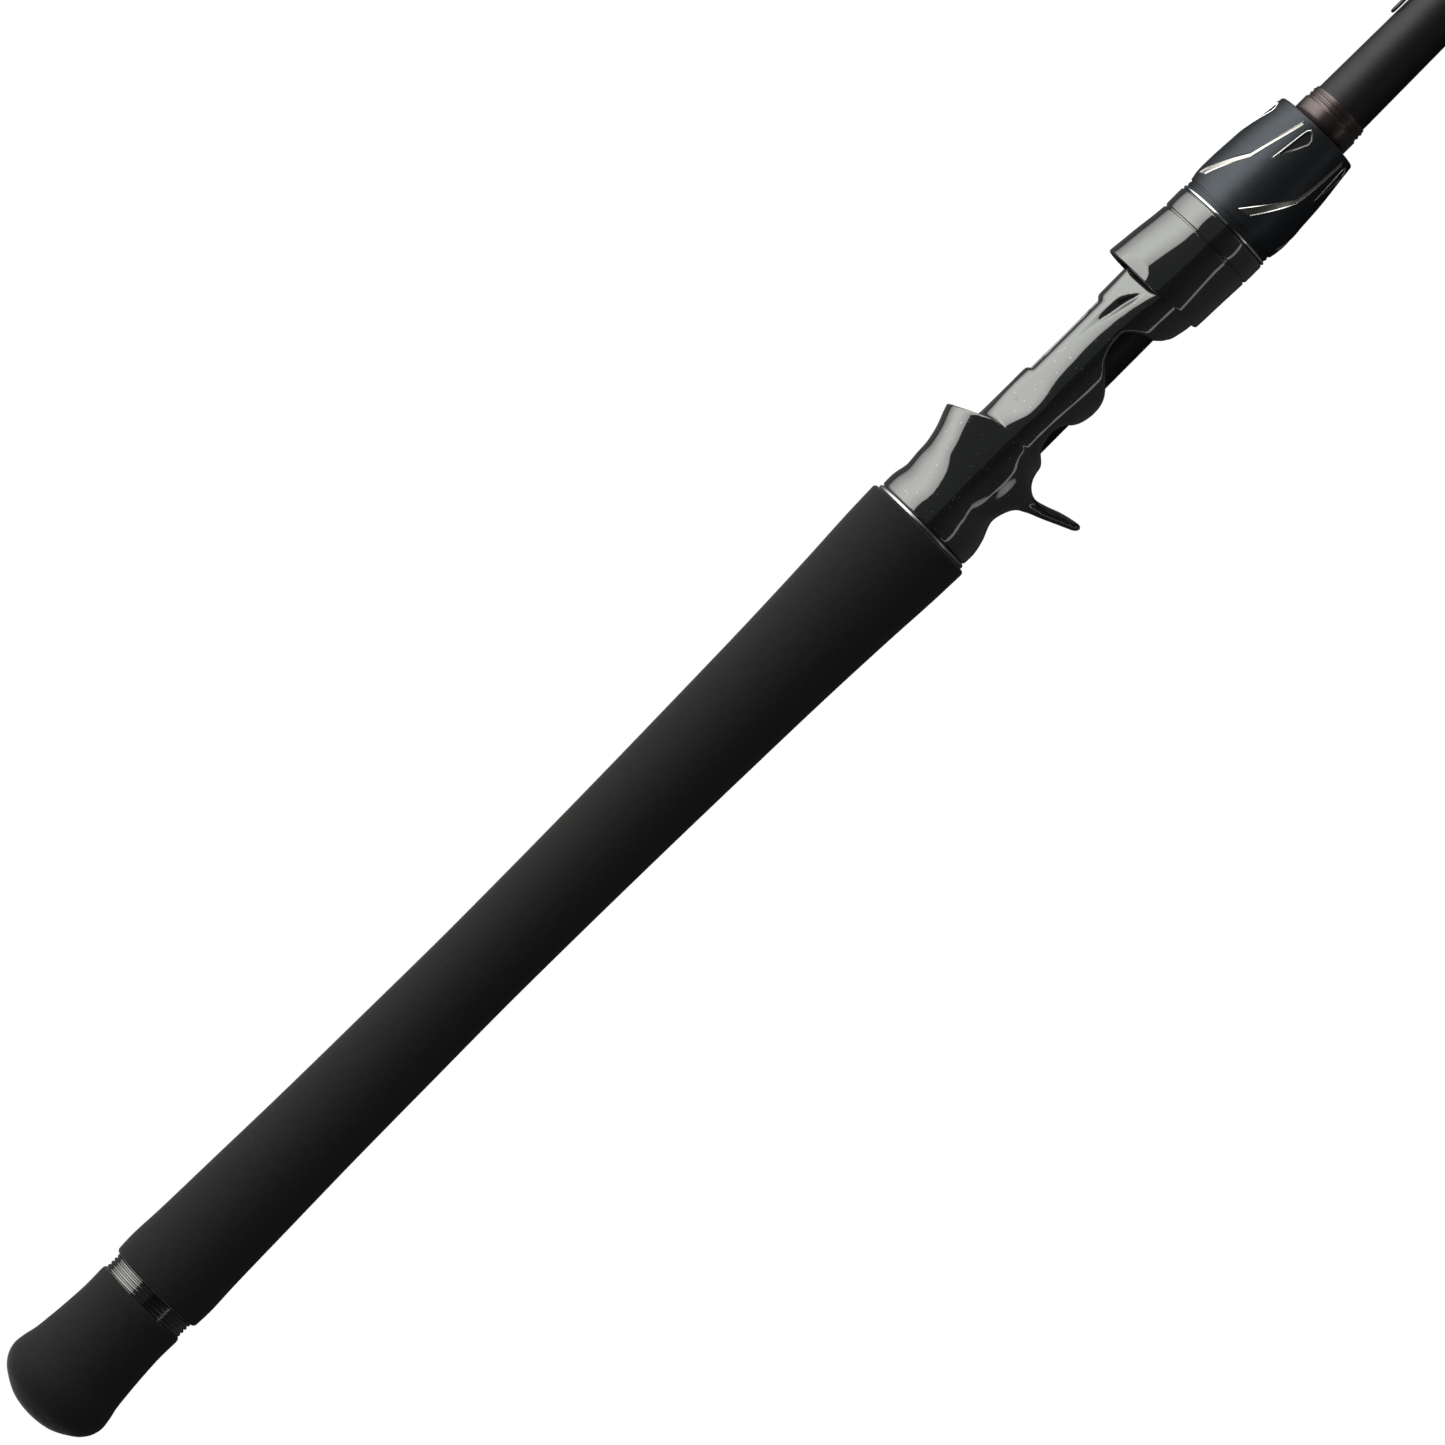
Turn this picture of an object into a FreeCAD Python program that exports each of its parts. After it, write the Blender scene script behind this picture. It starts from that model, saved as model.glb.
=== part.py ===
import FreeCAD
import Part

import math
import os

# Bait-casting fishing rod: foam grips, blank-through trigger reel seat with a screw-down hood, and guides.
#
# Frame: millimetres, +X along the rod from butt to tip, +Z up to the side the reel and the guides are on.
# The origin is on the rod's axis, at the middle of the reel seat, where the hand holds the rod.

# ---------------------------------------------------------------- driving dimensions
ROD_LENGTH = 2134.0        # a seven-foot rod
SEAT_REAR = -52.0          # rear face of the reel seat
BUTT_X = SEAT_REAR - 302.6 # the end of the butt grip
TIP_X = BUTT_X + ROD_LENGTH
BED_Z = 9.4                # height of the two pads that the reel's foot rests on

# blank: outer radius at stations along the rod, joined by straight tapers
BLANK_TAPER = [
    (BUTT_X + 12, 8.0),
    (SEAT_REAR, 8.0),
    (SEAT_REAR + 136, 7.45),
    (SEAT_REAR + 175, 7.05),
    (350.0, 6.1),
    (700.0, 4.7),
    (1100.0, 3.2),
    (1500.0, 2.0),
    (TIP_X - 2, 1.05),
]
BLANK_WALL = 1.3
BLANK_BORE_END = 1500.0    # the tip section is solid

# grips
BUTT_RING_X = BUTT_X + 38.3
BUTT_RIBS = 3
REAR_GRIP_X = BUTT_RING_X + 4.4
GRIP_CHECK_X = SEAT_REAR - 1.2
CHECK_R = 13.9

# reel seat, with stations measured from its rear face
SEAT_BORE_R = 8.3
MOUTH_TOP = (24.7, 16.5)   # the fixed hood's slanted mouth: station and height of its top corner
MOUTH_FOOT = (29.3, 7.0)   # and of the corner where it meets the bed's flank
POCKET_BACK = 13.5         # back wall of the fixed hood's pocket
POCKET_ROOF = [(POCKET_BACK, 12.4, 10.2), (23.0, 14.9, 10.9), (31.0, 17.4, 11.3)]  # station, top, half width
RELIEF = (44.9, 68.0)      # lowered stretch of the bed between its two pads
RELIEF_DEPTH = 1.0
SADDLE_END = 79.0
BARREL_R = 11.6            # barrel that the sliding hood runs on
BARREL_END = 103.5
THREAD_END = 133.7
THREAD_CREST_R = 9.7
THREAD_ROOT_R = 9.1
THREAD_PITCH = 2.5

# sliding hood and lock nut, at rest in the fully open position
HOOD_REAR = 78.0
HOOD_FRONT = 95.2
COLLAR_FRONT = 101.3
NUT_RING_REAR = 101.5
NUT_REAR = 104.2
NUT_CORE_REAR = 116.5
NUT_FRONT = THREAD_END
HOOD_R = 13.3
SLIDE_GAP = 0.2            # running clearance of the hood over the barrel
HOOD_BORE_R = BARREL_R + SLIDE_GAP
NUT_BORE_R = THREAD_CREST_R + 0.1
NUT_CORE_R = 10.8
NUT_LOBES = 5

# hook keeper, ahead of the seat
KEEPER_PIVOT_X = SEAT_REAR + 177.0
KEEPER_REACH = 10.6
KEEPER_WIRE_R = 0.4

# guides: distance of the ring from the tip, ring size (its outer diameter), ring height, two feet or one
GUIDES = [
    (1245.0, 12.0, 13.0, True),
    (1025.0, 10.0, 11.0, True),
    (830.0, 8.0, 9.0, True),
    (655.0, 7.0, 7.6, False),
    (495.0, 6.0, 6.6, False),
    (350.0, 6.0, 6.2, False),
    (220.0, 6.0, 5.9, False),
    (105.0, 6.0, 5.6, False),
]
RING_WALL = 1.1
RING_WIDTH = 1.6
BAND = 0.5
FOOT_THICK = 0.6
WRAP_THICK = 0.45
TIP_RING = 6.0

FAR = 20.0                 # past the outside of the whole handle, for cutting tools

X_AXIS = FreeCAD.Vector(1, 0, 0)
ORIGIN = FreeCAD.Vector(0, 0, 0)


def vec(x, y, z):
    return FreeCAD.Vector(x, y, z)


def at(station):
    """X of a station measured from the seat's rear face."""
    return SEAT_REAR + station


# ---------------------------------------------------------------- shape helpers
def turned(points, z=0.0):
    """Solid of revolution about the line parallel to X at height z, from (x, radius) corners."""
    corners = [vec(x, 0, z + r) for x, r in points]
    wire = Part.makePolygon(corners + corners[:1])
    return Part.Face(wire).revolve(vec(0, 0, z), X_AXIS, 360)


def turned_spline(outer, inner_r):
    """Solid of revolution with a smooth outer line through (x, radius) points and a plain bore."""
    curve = Part.BSplineCurve()
    curve.interpolate([vec(x, 0, r) for x, r in outer])
    first, last = outer[0], outer[-1]
    edges = [
        curve.toShape(),
        Part.makeLine(vec(last[0], 0, last[1]), vec(last[0], 0, inner_r)),
        Part.makeLine(vec(last[0], 0, inner_r), vec(first[0], 0, inner_r)),
        Part.makeLine(vec(first[0], 0, inner_r), vec(first[0], 0, first[1])),
    ]
    return Part.Face(Part.Wire(edges)).revolve(ORIGIN, X_AXIS, 360)


def tube(x0, x1, outer, inner):
    return turned([(x0, inner), (x0, outer), (x1, outer), (x1, inner)])


def rod(x0, x1, radius):
    return Part.makeCylinder(radius, x1 - x0, vec(x0, 0, 0), X_AXIS)


def box(x0, x1, y0, y1, z0, z1):
    return Part.makeBox(x1 - x0, y1 - y0, z1 - z0, vec(x0, y0, z0))


def section(x, top, bottom, half_width, count=20):
    """Closed section across the rod: half an ellipse above the axis and half of another below it."""
    points = []
    for n in range(count):
        turn = 2 * math.pi * n / count
        height = top if math.cos(turn) >= 0 else -bottom
        points.append(vec(x, half_width * math.sin(turn), height * math.cos(turn)))
    curve = Part.BSplineCurve()
    curve.interpolate(Points=points, PeriodicFlag=True)
    return Part.Wire(curve.toShape())


def lofted(sections):
    """Solid through sections given as (x, top, bottom, half width)."""
    return Part.makeLoft([section(*each) for each in sections], True, False)


def side_plate(points, half_width):
    """Flat plate cut to a closed (x, z) outline, centred on the rod's middle plane."""
    corners = [vec(x, -half_width, z) for x, z in points]
    wire = Part.makePolygon(corners + corners[:1])
    return Part.Face(wire).extrude(vec(0, 2 * half_width, 0))


def smooth_plate(points, lid, half_width):
    """Plate whose outline runs smoothly through (x, z) points, closed by straight lines over z = lid."""
    curve = Part.BSplineCurve()
    curve.interpolate([vec(x, -half_width, z) for x, z in points])
    first, last = points[0], points[-1]
    edges = [
        curve.toShape(),
        Part.makeLine(vec(last[0], -half_width, last[1]), vec(last[0], -half_width, lid)),
        Part.makeLine(vec(last[0], -half_width, lid), vec(first[0], -half_width, lid)),
        Part.makeLine(vec(first[0], -half_width, lid), vec(first[0], -half_width, first[1])),
    ]
    return Part.Face(Part.Wire(edges)).extrude(vec(0, 2 * half_width, 0))


def blank_radius(x):
    for (x0, r0), (x1, r1) in zip(BLANK_TAPER, BLANK_TAPER[1:]):
        if x <= x1:
            return r0 + (r1 - r0) * (x - x0) / (x1 - x0)
    return BLANK_TAPER[-1][1]


# ---------------------------------------------------------------- blank and grips
def blank_outside():
    first, last = BLANK_TAPER[0], BLANK_TAPER[-1]
    return turned([(first[0], 0)] + BLANK_TAPER + [(last[0], 0)])


def blank():
    bored = [(x, r - BLANK_WALL) for x, r in BLANK_TAPER if x <= BLANK_BORE_END]
    bore = turned([(bored[0][0] - 1, 0), (bored[0][0] - 1, bored[0][1])] + bored + [(bored[-1][0], 0)])
    return blank_outside().cut(bore)


def butt_grip():
    """Foam knob over the end of the blank: domed end, swell and neck."""
    line = [
        (0.0, 0.0), (0.25, 3.0), (0.96, 6.2), (2.9, 10.0), (4.8, 12.5), (6.7, 13.9), (9.4, 14.75),
        (12.5, 14.5), (15.4, 13.85), (20.0, 13.3), (25.9, 12.8), (31.7, 12.5), (37.0, 12.6),
    ]
    curve = Part.BSplineCurve()
    points = [vec(BUTT_X + x, 0, r) for x, r in line]
    curve.interpolate(Points=points, InitialTangent=vec(0, 0, 1), FinalTangent=vec(1, 0, 0.03))
    edges = [
        curve.toShape(),
        Part.makeLine(points[-1], vec(BUTT_RING_X, 0, 12.1)),
        Part.makeLine(vec(BUTT_RING_X, 0, 12.1), vec(BUTT_RING_X, 0, 0)),
        Part.makeLine(vec(BUTT_RING_X, 0, 0), vec(BUTT_X, 0, 0)),
    ]
    solid = Part.Face(Part.Wire(edges)).revolve(ORIGIN, X_AXIS, 360)
    first_x, first_r = BLANK_TAPER[0]
    return solid.cut(rod(first_x, BUTT_RING_X + 1, first_r))


def butt_ring():
    """Trim ring with turned ribs."""
    root_r, crest_r, bore = 11.75, 12.1, BLANK_TAPER[0][1]
    pitch = (REAR_GRIP_X - BUTT_RING_X) / BUTT_RIBS
    outline = [(BUTT_RING_X, bore)]
    for n in range(BUTT_RIBS):
        x = BUTT_RING_X + n * pitch
        outline += [
            (x, root_r),
            (x + pitch * 0.2, crest_r),
            (x + pitch * 0.75, crest_r),
            (x + pitch * 0.95, root_r),
        ]
    outline += [(REAR_GRIP_X, root_r), (REAR_GRIP_X, bore)]
    return turned(outline)


def rear_grip():
    """Long waisted foam grip, widest at the reel seat."""
    line = [
        (0.8, 13.05), (4.0, 13.2), (14.0, 12.85), (33.0, 12.4), (52.5, 11.95), (81.0, 11.6), (110.0, 11.35),
        (129.0, 11.47), (158.0, 11.85), (187.0, 12.45), (215.5, 13.2), (234.8, 14.0), (250.0, 14.8),
        (257.9, 15.05),
    ]
    bore = BLANK_TAPER[0][1]
    outer = [(REAR_GRIP_X + x, r) for x, r in line]
    body = turned_spline(outer, bore)
    (rear_x, rear_r), (front_x, front_r) = outer[0], outer[-1]
    chamfer = 0.8
    rear_lip = turned([(REAR_GRIP_X, bore), (REAR_GRIP_X, rear_r - chamfer), (rear_x, rear_r), (rear_x, bore)])
    front_edge = (GRIP_CHECK_X, front_r - chamfer)
    front_lip = turned([(front_x, bore), (front_x, front_r), front_edge, (GRIP_CHECK_X, bore)])
    return body.fuse([rear_lip, front_lip])


def grip_check():
    return tube(GRIP_CHECK_X, SEAT_REAR, CHECK_R, BLANK_TAPER[0][1])


# ---------------------------------------------------------------- reel seat
def mouth_plane(x, z):
    """A plate that fills everything ahead of the fixed hood's slanted mouth."""
    lean = (MOUTH_FOOT[0] - MOUTH_TOP[0]) / (MOUTH_TOP[1] - MOUTH_FOOT[1])
    upper = (at(MOUTH_TOP[0] - lean * (z - MOUTH_TOP[1])), z)
    lower = (at(MOUTH_TOP[0] + lean * (MOUTH_TOP[1] + z)), -z)
    return side_plate([upper, lower, (at(x), -z), (at(x), z)], FAR)


def seat_envelope():
    """Palm swell, saddle with its flat bed, barrel, and the fixed hood rising from the palm."""
    body = lofted(
        [
            (at(0), 13.75, -13.6, 13.65),
            (at(3.6), 13.7, -13.65, 13.6),
            (at(7.5), 13.0, -12.8, 12.7),
            (at(11.3), 12.8, -11.3, 11.9),
            (at(15.0), 12.5, -10.7, 11.8),
            (at(20.0), 12.2, -10.9, 11.95),
            (at(26.0), 11.9, -10.7, 12.0),
            (at(31.0), 11.6, -10.1, 11.6),
            (at(40.0), 11.2, -9.9, 10.8),
            (at(50.0), 11.0, -10.6, 10.5),
            (at(60.0), 11.0, -10.4, 10.1),
            (at(68.0), 11.2, -10.8, 10.6),
            (at(74.0), 11.4, -11.2, 11.2),
            (at(SADDLE_END), 11.55, -11.55, 11.55),
        ]
    )
    hood = lofted(
        [
            (at(8.0), 12.5, -7.0, 12.0),
            (at(11.3), 13.15, -7.0, 11.7),
            (at(15.0), 13.5, -7.0, 11.6),
            (at(19.0), 14.4, -7.0, 11.75),
            (at(23.0), 15.9, -7.0, 11.85),
            (at(27.0), 17.2, -7.0, 11.85),
            (at(31.0), 18.3, -7.0, 11.6),
        ]
    )
    barrel = rod(at(SADDLE_END) - 0.01, at(BARREL_END), BARREL_R)
    over_bed = box(at(20.0), at(BARREL_END) + 1, -FAR, FAR, BED_Z, FAR)
    return body.fuse(barrel).cut(over_bed).fuse(hood.cut(mouth_plane(60, 24.0)))


def seat_side():
    """Side outline of the moulding: its two underside windows and the finger lobe between them."""
    lower = [
        (at(29.0), -12.5),
        (at(30.6), -9.4),
        (at(32.0), -7.4),
        (at(34.4), -6.2),
        (at(38.2), -5.9),
        (at(40.5), -6.8),
        (at(42.3), -8.4),
        (at(45.5), -9.9),
        (at(49.0), -10.1),
        (at(52.0), -9.0),
        (at(55.4), -5.7),
        (at(57.8), -3.0),
        (at(60.5), -1.5),
        (at(63.5), -0.9),
        (at(66.6), -1.3),
        (at(68.6), -3.8),
        (at(70.2), -7.4),
        (at(72.8), -9.9),
        (at(76.6), -11.5),
        (at(80.5), -13.5),
    ]
    body = smooth_plate(lower, FAR, FAR)
    rear = box(at(-1), at(29.0), -FAR, FAR, -FAR, FAR)
    front = box(at(80.5), at(BARREL_END), -FAR, FAR, -FAR, FAR)
    return body.fuse([rear, front])


def trigger():
    """Slim hooked blade under the palm, tapering to a rounded tip."""
    rear_line = [
        (11.5, -9.0), (14.2, -10.7), (17.6, -12.2), (19.6, -15.3), (21.2, -19.2), (23.2, -23.6), (24.6, -26.4),
    ]
    front_line = [
        (26.2, -26.9), (26.3, -25.2), (25.3, -21.2), (23.9, -17.4), (23.2, -14.5), (24.2, -11.6), (26.6, -9.9),
    ]
    rear_curve = Part.BSplineCurve()
    rear_curve.interpolate([vec(at(x), -8, z) for x, z in rear_line])
    front_curve = Part.BSplineCurve()
    front_curve.interpolate([vec(at(x), -8, z) for x, z in front_line])
    tip = Part.Arc(vec(at(24.6), -8, -26.4), vec(at(25.6), -8, -27.6), vec(at(26.2), -8, -26.9))
    edges = [
        rear_curve.toShape(),
        tip.toShape(),
        front_curve.toShape(),
        Part.makeLine(vec(at(26.6), -8, -9.9), vec(at(29.0), -8, -8.6)),
        Part.makeLine(vec(at(29.0), -8, -8.6), vec(at(11.5), -8, -8.6)),
        Part.makeLine(vec(at(11.5), -8, -8.6), vec(at(11.5), -8, -9.0)),
    ]
    blade = Part.Face(Part.Wire(edges)).extrude(vec(0, 16, 0))
    levels = [(-8.0, 6.6), (-11.5, 5.2), (-15.0, 4.6), (-22.0, 4.3), (-28.5, 3.5)]
    outlines = []
    for z, half in levels:
        corners = [vec(at(8), -half, z), vec(at(8), half, z), vec(at(32), half, z), vec(at(32), -half, z)]
        outlines.append(Part.makePolygon(corners + corners[:1]))
    return blade.common(Part.makeLoft(outlines, True, True))


def pocket_space(shrink):
    """Loft along the fixed hood's roof, taken in by shrink all round."""
    return lofted([(at(s), top - shrink, -8.0, half - shrink) for s, top, half in POCKET_ROOF])


def fixed_pocket():
    """Room for the rear end of the reel's foot, open along the slanted mouth."""
    return pocket_space(0.0).common(box(at(POCKET_BACK), at(32), -FAR, FAR, BED_Z, FAR))


def screw_thread():
    """Coarse ridge wound on the front barrel for the lock nut."""
    half_root, half_crest, run_in = 0.6, 0.3, 1.5
    start, length = at(BARREL_END) + run_in, THREAD_END - BARREL_END - 2 * run_in
    spine = Part.Wire(Part.makeHelix(THREAD_PITCH, length, THREAD_ROOT_R))
    foot_r = THREAD_ROOT_R - 0.1
    ridge = Part.makePolygon(
        [
            vec(foot_r, 0, -half_root),
            vec(THREAD_CREST_R, 0, -half_crest),
            vec(THREAD_CREST_R, 0, half_crest),
            vec(foot_r, 0, half_root),
            vec(foot_r, 0, -half_root),
        ]
    )
    turns = spine.makePipeShell([ridge], True, True)
    turns.rotate(ORIGIN, vec(0, 1, 0), 90)
    turns.translate(vec(start, 0, 0))
    return turns


def flank_scoop(side):
    """Shallow three-cornered scoop in the bed's flank, behind the hood."""
    depth = 0.7
    outline = [vec(at(61), 0, 4.6), vec(at(75), 0, 6.4), vec(at(71), 0, 2.6)]
    near = [p + vec(0, side * (10.4 - depth), 0) for p in outline]
    far = [p + vec(0, side * 13, 0) for p in outline]
    return Part.makeLoft([Part.makePolygon(w + w[:1]) for w in (near, far)], True, True)


def seat_body():
    shell = seat_envelope().common(seat_side())
    rear, front = at(RELIEF[0]), at(RELIEF[1])
    relief = box(rear, front, -FAR, FAR, BED_Z - RELIEF_DEPTH, FAR)
    slot_half = 4.6
    slot_ends = (rear + 3 + slot_half, front - 2 - slot_half)
    slot = box(*slot_ends, -slot_half, slot_half, 0, FAR)
    round_ends = [Part.makeCylinder(slot_half, FAR, vec(x, 0, 0)) for x in slot_ends]
    shell = shell.cut([relief, slot, *round_ends])
    shell = shell.cut([fixed_pocket(), flank_scoop(1), flank_scoop(-1)])
    core = tube(at(BARREL_END) - 0.01, at(THREAD_END), THREAD_ROOT_R, SEAT_BORE_R)
    shell = shell.fuse([trigger(), core, screw_thread()])
    return shell.cut(rod(at(-1), at(THREAD_END) + 1, SEAT_BORE_R))


def arbor(start, end):
    """Shim sleeve that fills the gap between the tapered blank and the seat's straight bore."""
    return rod(at(start), at(end), SEAT_BORE_R).cut(blank_outside())


def fixed_hood_liner():
    """Pressed steel lining of the fixed hood's roof."""
    gap, lining = 0.02, 0.4
    behind_mouth = side_plate(
        [
            (at(POCKET_BACK) + 0.1, BED_Z + 0.5),
            (at(27.2), BED_Z + 0.5),
            (at(MOUTH_TOP[0] - 0.2), MOUTH_TOP[1]),
            (at(POCKET_BACK) + 0.1, MOUTH_TOP[1]),
        ],
        FAR,
    )
    return pocket_space(gap).cut(pocket_space(gap + lining)).common(behind_mouth)


# ---------------------------------------------------------------- sliding hood
# distance from the hood's rear edge, then top, bottom and half width
HOOD_LINE = [
    (0.0, 15.1, -12.6, 13.0),
    (3.5, 14.75, -12.75, 13.15),
    (8.0, 14.3, -12.95, 13.25),
    (13.0, 13.65, -13.1, 13.3),
    (HOOD_FRONT - HOOD_REAR, HOOD_R, -HOOD_R, HOOD_R),
]
HOOD_ROOF = [(0.0, 14.2), (15.6, 12.6)]


def hood_space(shrink, start, end):
    """The hollow of the sliding hood: round below, raised over the reel's foot above."""
    (s0, z0), (s1, z1) = HOOD_ROOF
    ends = []
    for station in (start, end):
        roof = z0 + (z1 - z0) * (station - s0) / (s1 - s0)
        bore = HOOD_BORE_R + 0.25 - shrink
        ends.append((at(HOOD_REAR + station), roof - shrink, -bore, bore))
    return lofted(ends)


def sliding_hood():
    web = 1.6
    length = HOOD_FRONT - HOOD_REAR
    shell = lofted([(at(HOOD_REAR + s), top, low, half) for s, top, low, half in HOOD_LINE])
    through = rod(at(HOOD_REAR) - 1, at(HOOD_FRONT) + 1, HOOD_BORE_R)
    keyed = through.common(box(at(HOOD_REAR) - 1, at(HOOD_FRONT) + 1, -FAR, FAR, -FAR, BED_Z + SLIDE_GAP))
    shell = shell.cut([hood_space(0.0, -0.5, length - web), keyed])
    behind, slant_top = at(HOOD_REAR) - 2, 2.0
    corners = [(behind, slant_top), (at(HOOD_REAR), slant_top), (at(HOOD_REAR) + 2.4, -FAR), (behind, -FAR)]
    slant = side_plate(corners, FAR)
    return shell.cut(slant)


def hood_liner():
    """Steel strip bent over the inside of the sliding hood's roof."""
    gap, lining = 0.02, 0.4
    start, end = 0.3, HOOD_FRONT - HOOD_REAR - 1.8
    band = hood_space(gap, start, end).cut(hood_space(gap + lining, start - 0.1, end + 0.1))
    return band.common(box(at(HOOD_REAR), at(HOOD_FRONT), -FAR, FAR, BED_Z + 0.6, FAR))


def hood_collar():
    """Collar glued to the hood; its counterbore takes the snap lip of the nut's ring."""
    counterbore = 13.0
    return turned(
        [
            (at(HOOD_FRONT), HOOD_BORE_R),
            (at(HOOD_FRONT), HOOD_R - 0.25),
            (at(HOOD_FRONT) + 0.35, HOOD_R - 0.25),
            (at(HOOD_FRONT) + 0.6, HOOD_R + 0.05),
            (at(COLLAR_FRONT) - 0.3, HOOD_R + 0.1),
            (at(COLLAR_FRONT), HOOD_R - 0.1),
            (at(COLLAR_FRONT), counterbore),
            (at(COLLAR_FRONT) - 2.0, counterbore),
            (at(COLLAR_FRONT) - 2.0, HOOD_BORE_R),
        ]
    )


# ---------------------------------------------------------------- lock nut
def nut_ring():
    """Bright ring at the nut's rear, with the lip that holds nut and hood together."""
    lip_r = 12.85
    return turned(
        [
            (at(COLLAR_FRONT) - 1.8, HOOD_BORE_R),
            (at(COLLAR_FRONT) - 1.8, lip_r),
            (at(NUT_RING_REAR), lip_r),
            (at(NUT_RING_REAR), 13.15),
            (at(NUT_RING_REAR) + 0.7, 13.25),
            (at(NUT_RING_REAR) + 0.8, 12.9),
            (at(NUT_REAR), 12.9),
            (at(NUT_REAR), HOOD_BORE_R),
        ]
    )


def radial_wedge(corners, inner_r, outer_r, turn):
    """Prism standing on a triangle drawn round the nut, from (station, degrees from the top) corners."""
    rings = []
    for radius in (inner_r, outer_r):
        points = []
        for station, degrees in corners:
            angle = math.radians(degrees + turn)
            points.append(vec(at(station), -radius * math.sin(angle), radius * math.cos(angle)))
        rings.append(Part.makePolygon(points + points[:1]))
    return Part.makeLoft(rings, True, True)


def nut_outline():
    """(station, radius) corners of the nut's smooth outer line, rear to front."""
    return [
        (NUT_REAR, 13.3),
        (NUT_REAR + 1.4, 13.6),
        (111.0, 13.75),
        (116.9, 13.45),
        (120.8, 13.2),
        (124.6, 12.8),
        (128.4, 12.3),
        (132.3, 11.85),
    ]


def nut_shell():
    outer = nut_outline()
    curve = Part.BSplineCurve()
    curve.interpolate([vec(at(x), 0, r) for x, r in outer])
    inside = [
        outer[-1],
        (NUT_FRONT - 0.6, 11.7),
        (NUT_FRONT, 11.0),
        (NUT_FRONT, NUT_BORE_R + 0.3),
        (NUT_FRONT - 1.2, NUT_BORE_R + 0.3),
        (NUT_FRONT - 1.2, NUT_CORE_R),
        (NUT_CORE_REAR, NUT_CORE_R),
        (NUT_CORE_REAR, HOOD_BORE_R),
        (NUT_REAR, HOOD_BORE_R),
        outer[0],
    ]
    edges = [curve.toShape()]
    edges += [
        Part.makeLine(vec(at(a[0]), 0, a[1]), vec(at(b[0]), 0, b[1])) for a, b in zip(inside, inside[1:])
    ]
    shell = Part.Face(Part.Wire(edges)).revolve(ORIGIN, X_AXIS, 360)
    window = [(120.6, 72.0), (131.8, 78.5), (130.2, 92.0)]
    facet = [(106.4, 14.0), (106.4, 28.0), (116.8, 54.0)]
    cuts = []
    for n in range(NUT_LOBES):
        turn = 360.0 / NUT_LOBES * n
        cuts.append(radial_wedge(window, NUT_CORE_R - 0.3, 16.0, turn))
        cuts.append(radial_wedge(facet, 12.7, 16.0, turn))
    return shell.cut(cuts)


def nut_core():
    """Sleeve moulded into the nut that runs on the thread."""
    return tube(at(NUT_CORE_REAR), at(NUT_FRONT) - 1.2, NUT_CORE_R, NUT_BORE_R)


def front_check():
    """Winding check that closes the seat's front end, with two fine ribs ahead of a broad band."""
    start = THREAD_END + 0.3
    outline = [(start, 6.0), (start, 8.15), (start + 4.2, 8.15), (start + 4.4, 7.8)]
    root_r, crest_r, rib_width = 7.8, 8.0, 0.7
    for rib in (4.9, 6.1):
        rear, front = start + rib, start + rib + rib_width
        outline += [(rear, root_r), (rear, crest_r), (front, crest_r), (front, root_r)]
    outline += [(start + 7.6, 7.6), (start + 7.6, 6.0)]
    return turned([(at(x), r) for x, r in outline]).cut(blank_outside())


# ---------------------------------------------------------------- hook keeper
def keeper_height():
    return blank_radius(KEEPER_PIVOT_X) + 0.8


def keeper_foot():
    """Foot on top of the blank with a cross bore for the folding loop."""
    base = blank_radius(KEEPER_PIVOT_X)
    strip = box(KEEPER_PIVOT_X - 1.0, KEEPER_PIVOT_X + 8.5, -1.3, 1.3, base - 0.8, base + 0.5)
    knuckle = Part.makeCylinder(1.0, 2.6, vec(KEEPER_PIVOT_X, -1.3, keeper_height()), vec(0, 1, 0))
    hole_r = KEEPER_WIRE_R + 0.06
    hole = Part.makeCylinder(hole_r, 4.0, vec(KEEPER_PIVOT_X, -2.0, keeper_height()), vec(0, 1, 0))
    return strip.fuse(knuckle).cut([hole, blank_outside()])


def keeper_loop():
    """Wire loop that turns in the foot's bore and folds back towards the reel."""
    half, corner = 2.1, 0.6
    z = keeper_height()
    back = KEEPER_PIVOT_X - KEEPER_REACH + KEEPER_WIRE_R + half
    path = [
        Part.makeLine(vec(KEEPER_PIVOT_X, half - corner, z), vec(KEEPER_PIVOT_X, -half + corner, z)),
        Part.Arc(
            vec(KEEPER_PIVOT_X, -half + corner, z),
            vec(KEEPER_PIVOT_X - corner * (1 - math.sqrt(0.5)), -half + corner * (1 - math.sqrt(0.5)), z),
            vec(KEEPER_PIVOT_X - corner, -half, z),
        ).toShape(),
        Part.makeLine(vec(KEEPER_PIVOT_X - corner, -half, z), vec(back, -half, z)),
        Part.Arc(vec(back, -half, z), vec(back - half, 0, z), vec(back, half, z)).toShape(),
        Part.makeLine(vec(back, half, z), vec(KEEPER_PIVOT_X - corner, half, z)),
        Part.Arc(
            vec(KEEPER_PIVOT_X - corner, half, z),
            vec(KEEPER_PIVOT_X - corner * (1 - math.sqrt(0.5)), half - corner * (1 - math.sqrt(0.5)), z),
            vec(KEEPER_PIVOT_X, half - corner, z),
        ).toShape(),
    ]
    pieces = []
    for edge in path:
        start = edge.valueAt(edge.FirstParameter)
        along = edge.tangentAt(edge.FirstParameter)
        round_wire = Part.Wire(Part.makeCircle(KEEPER_WIRE_R, start, along))
        pieces.append(Part.Wire([edge]).makePipeShell([round_wire], True, True))
    return pieces[0].fuse(pieces[1:])


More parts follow.
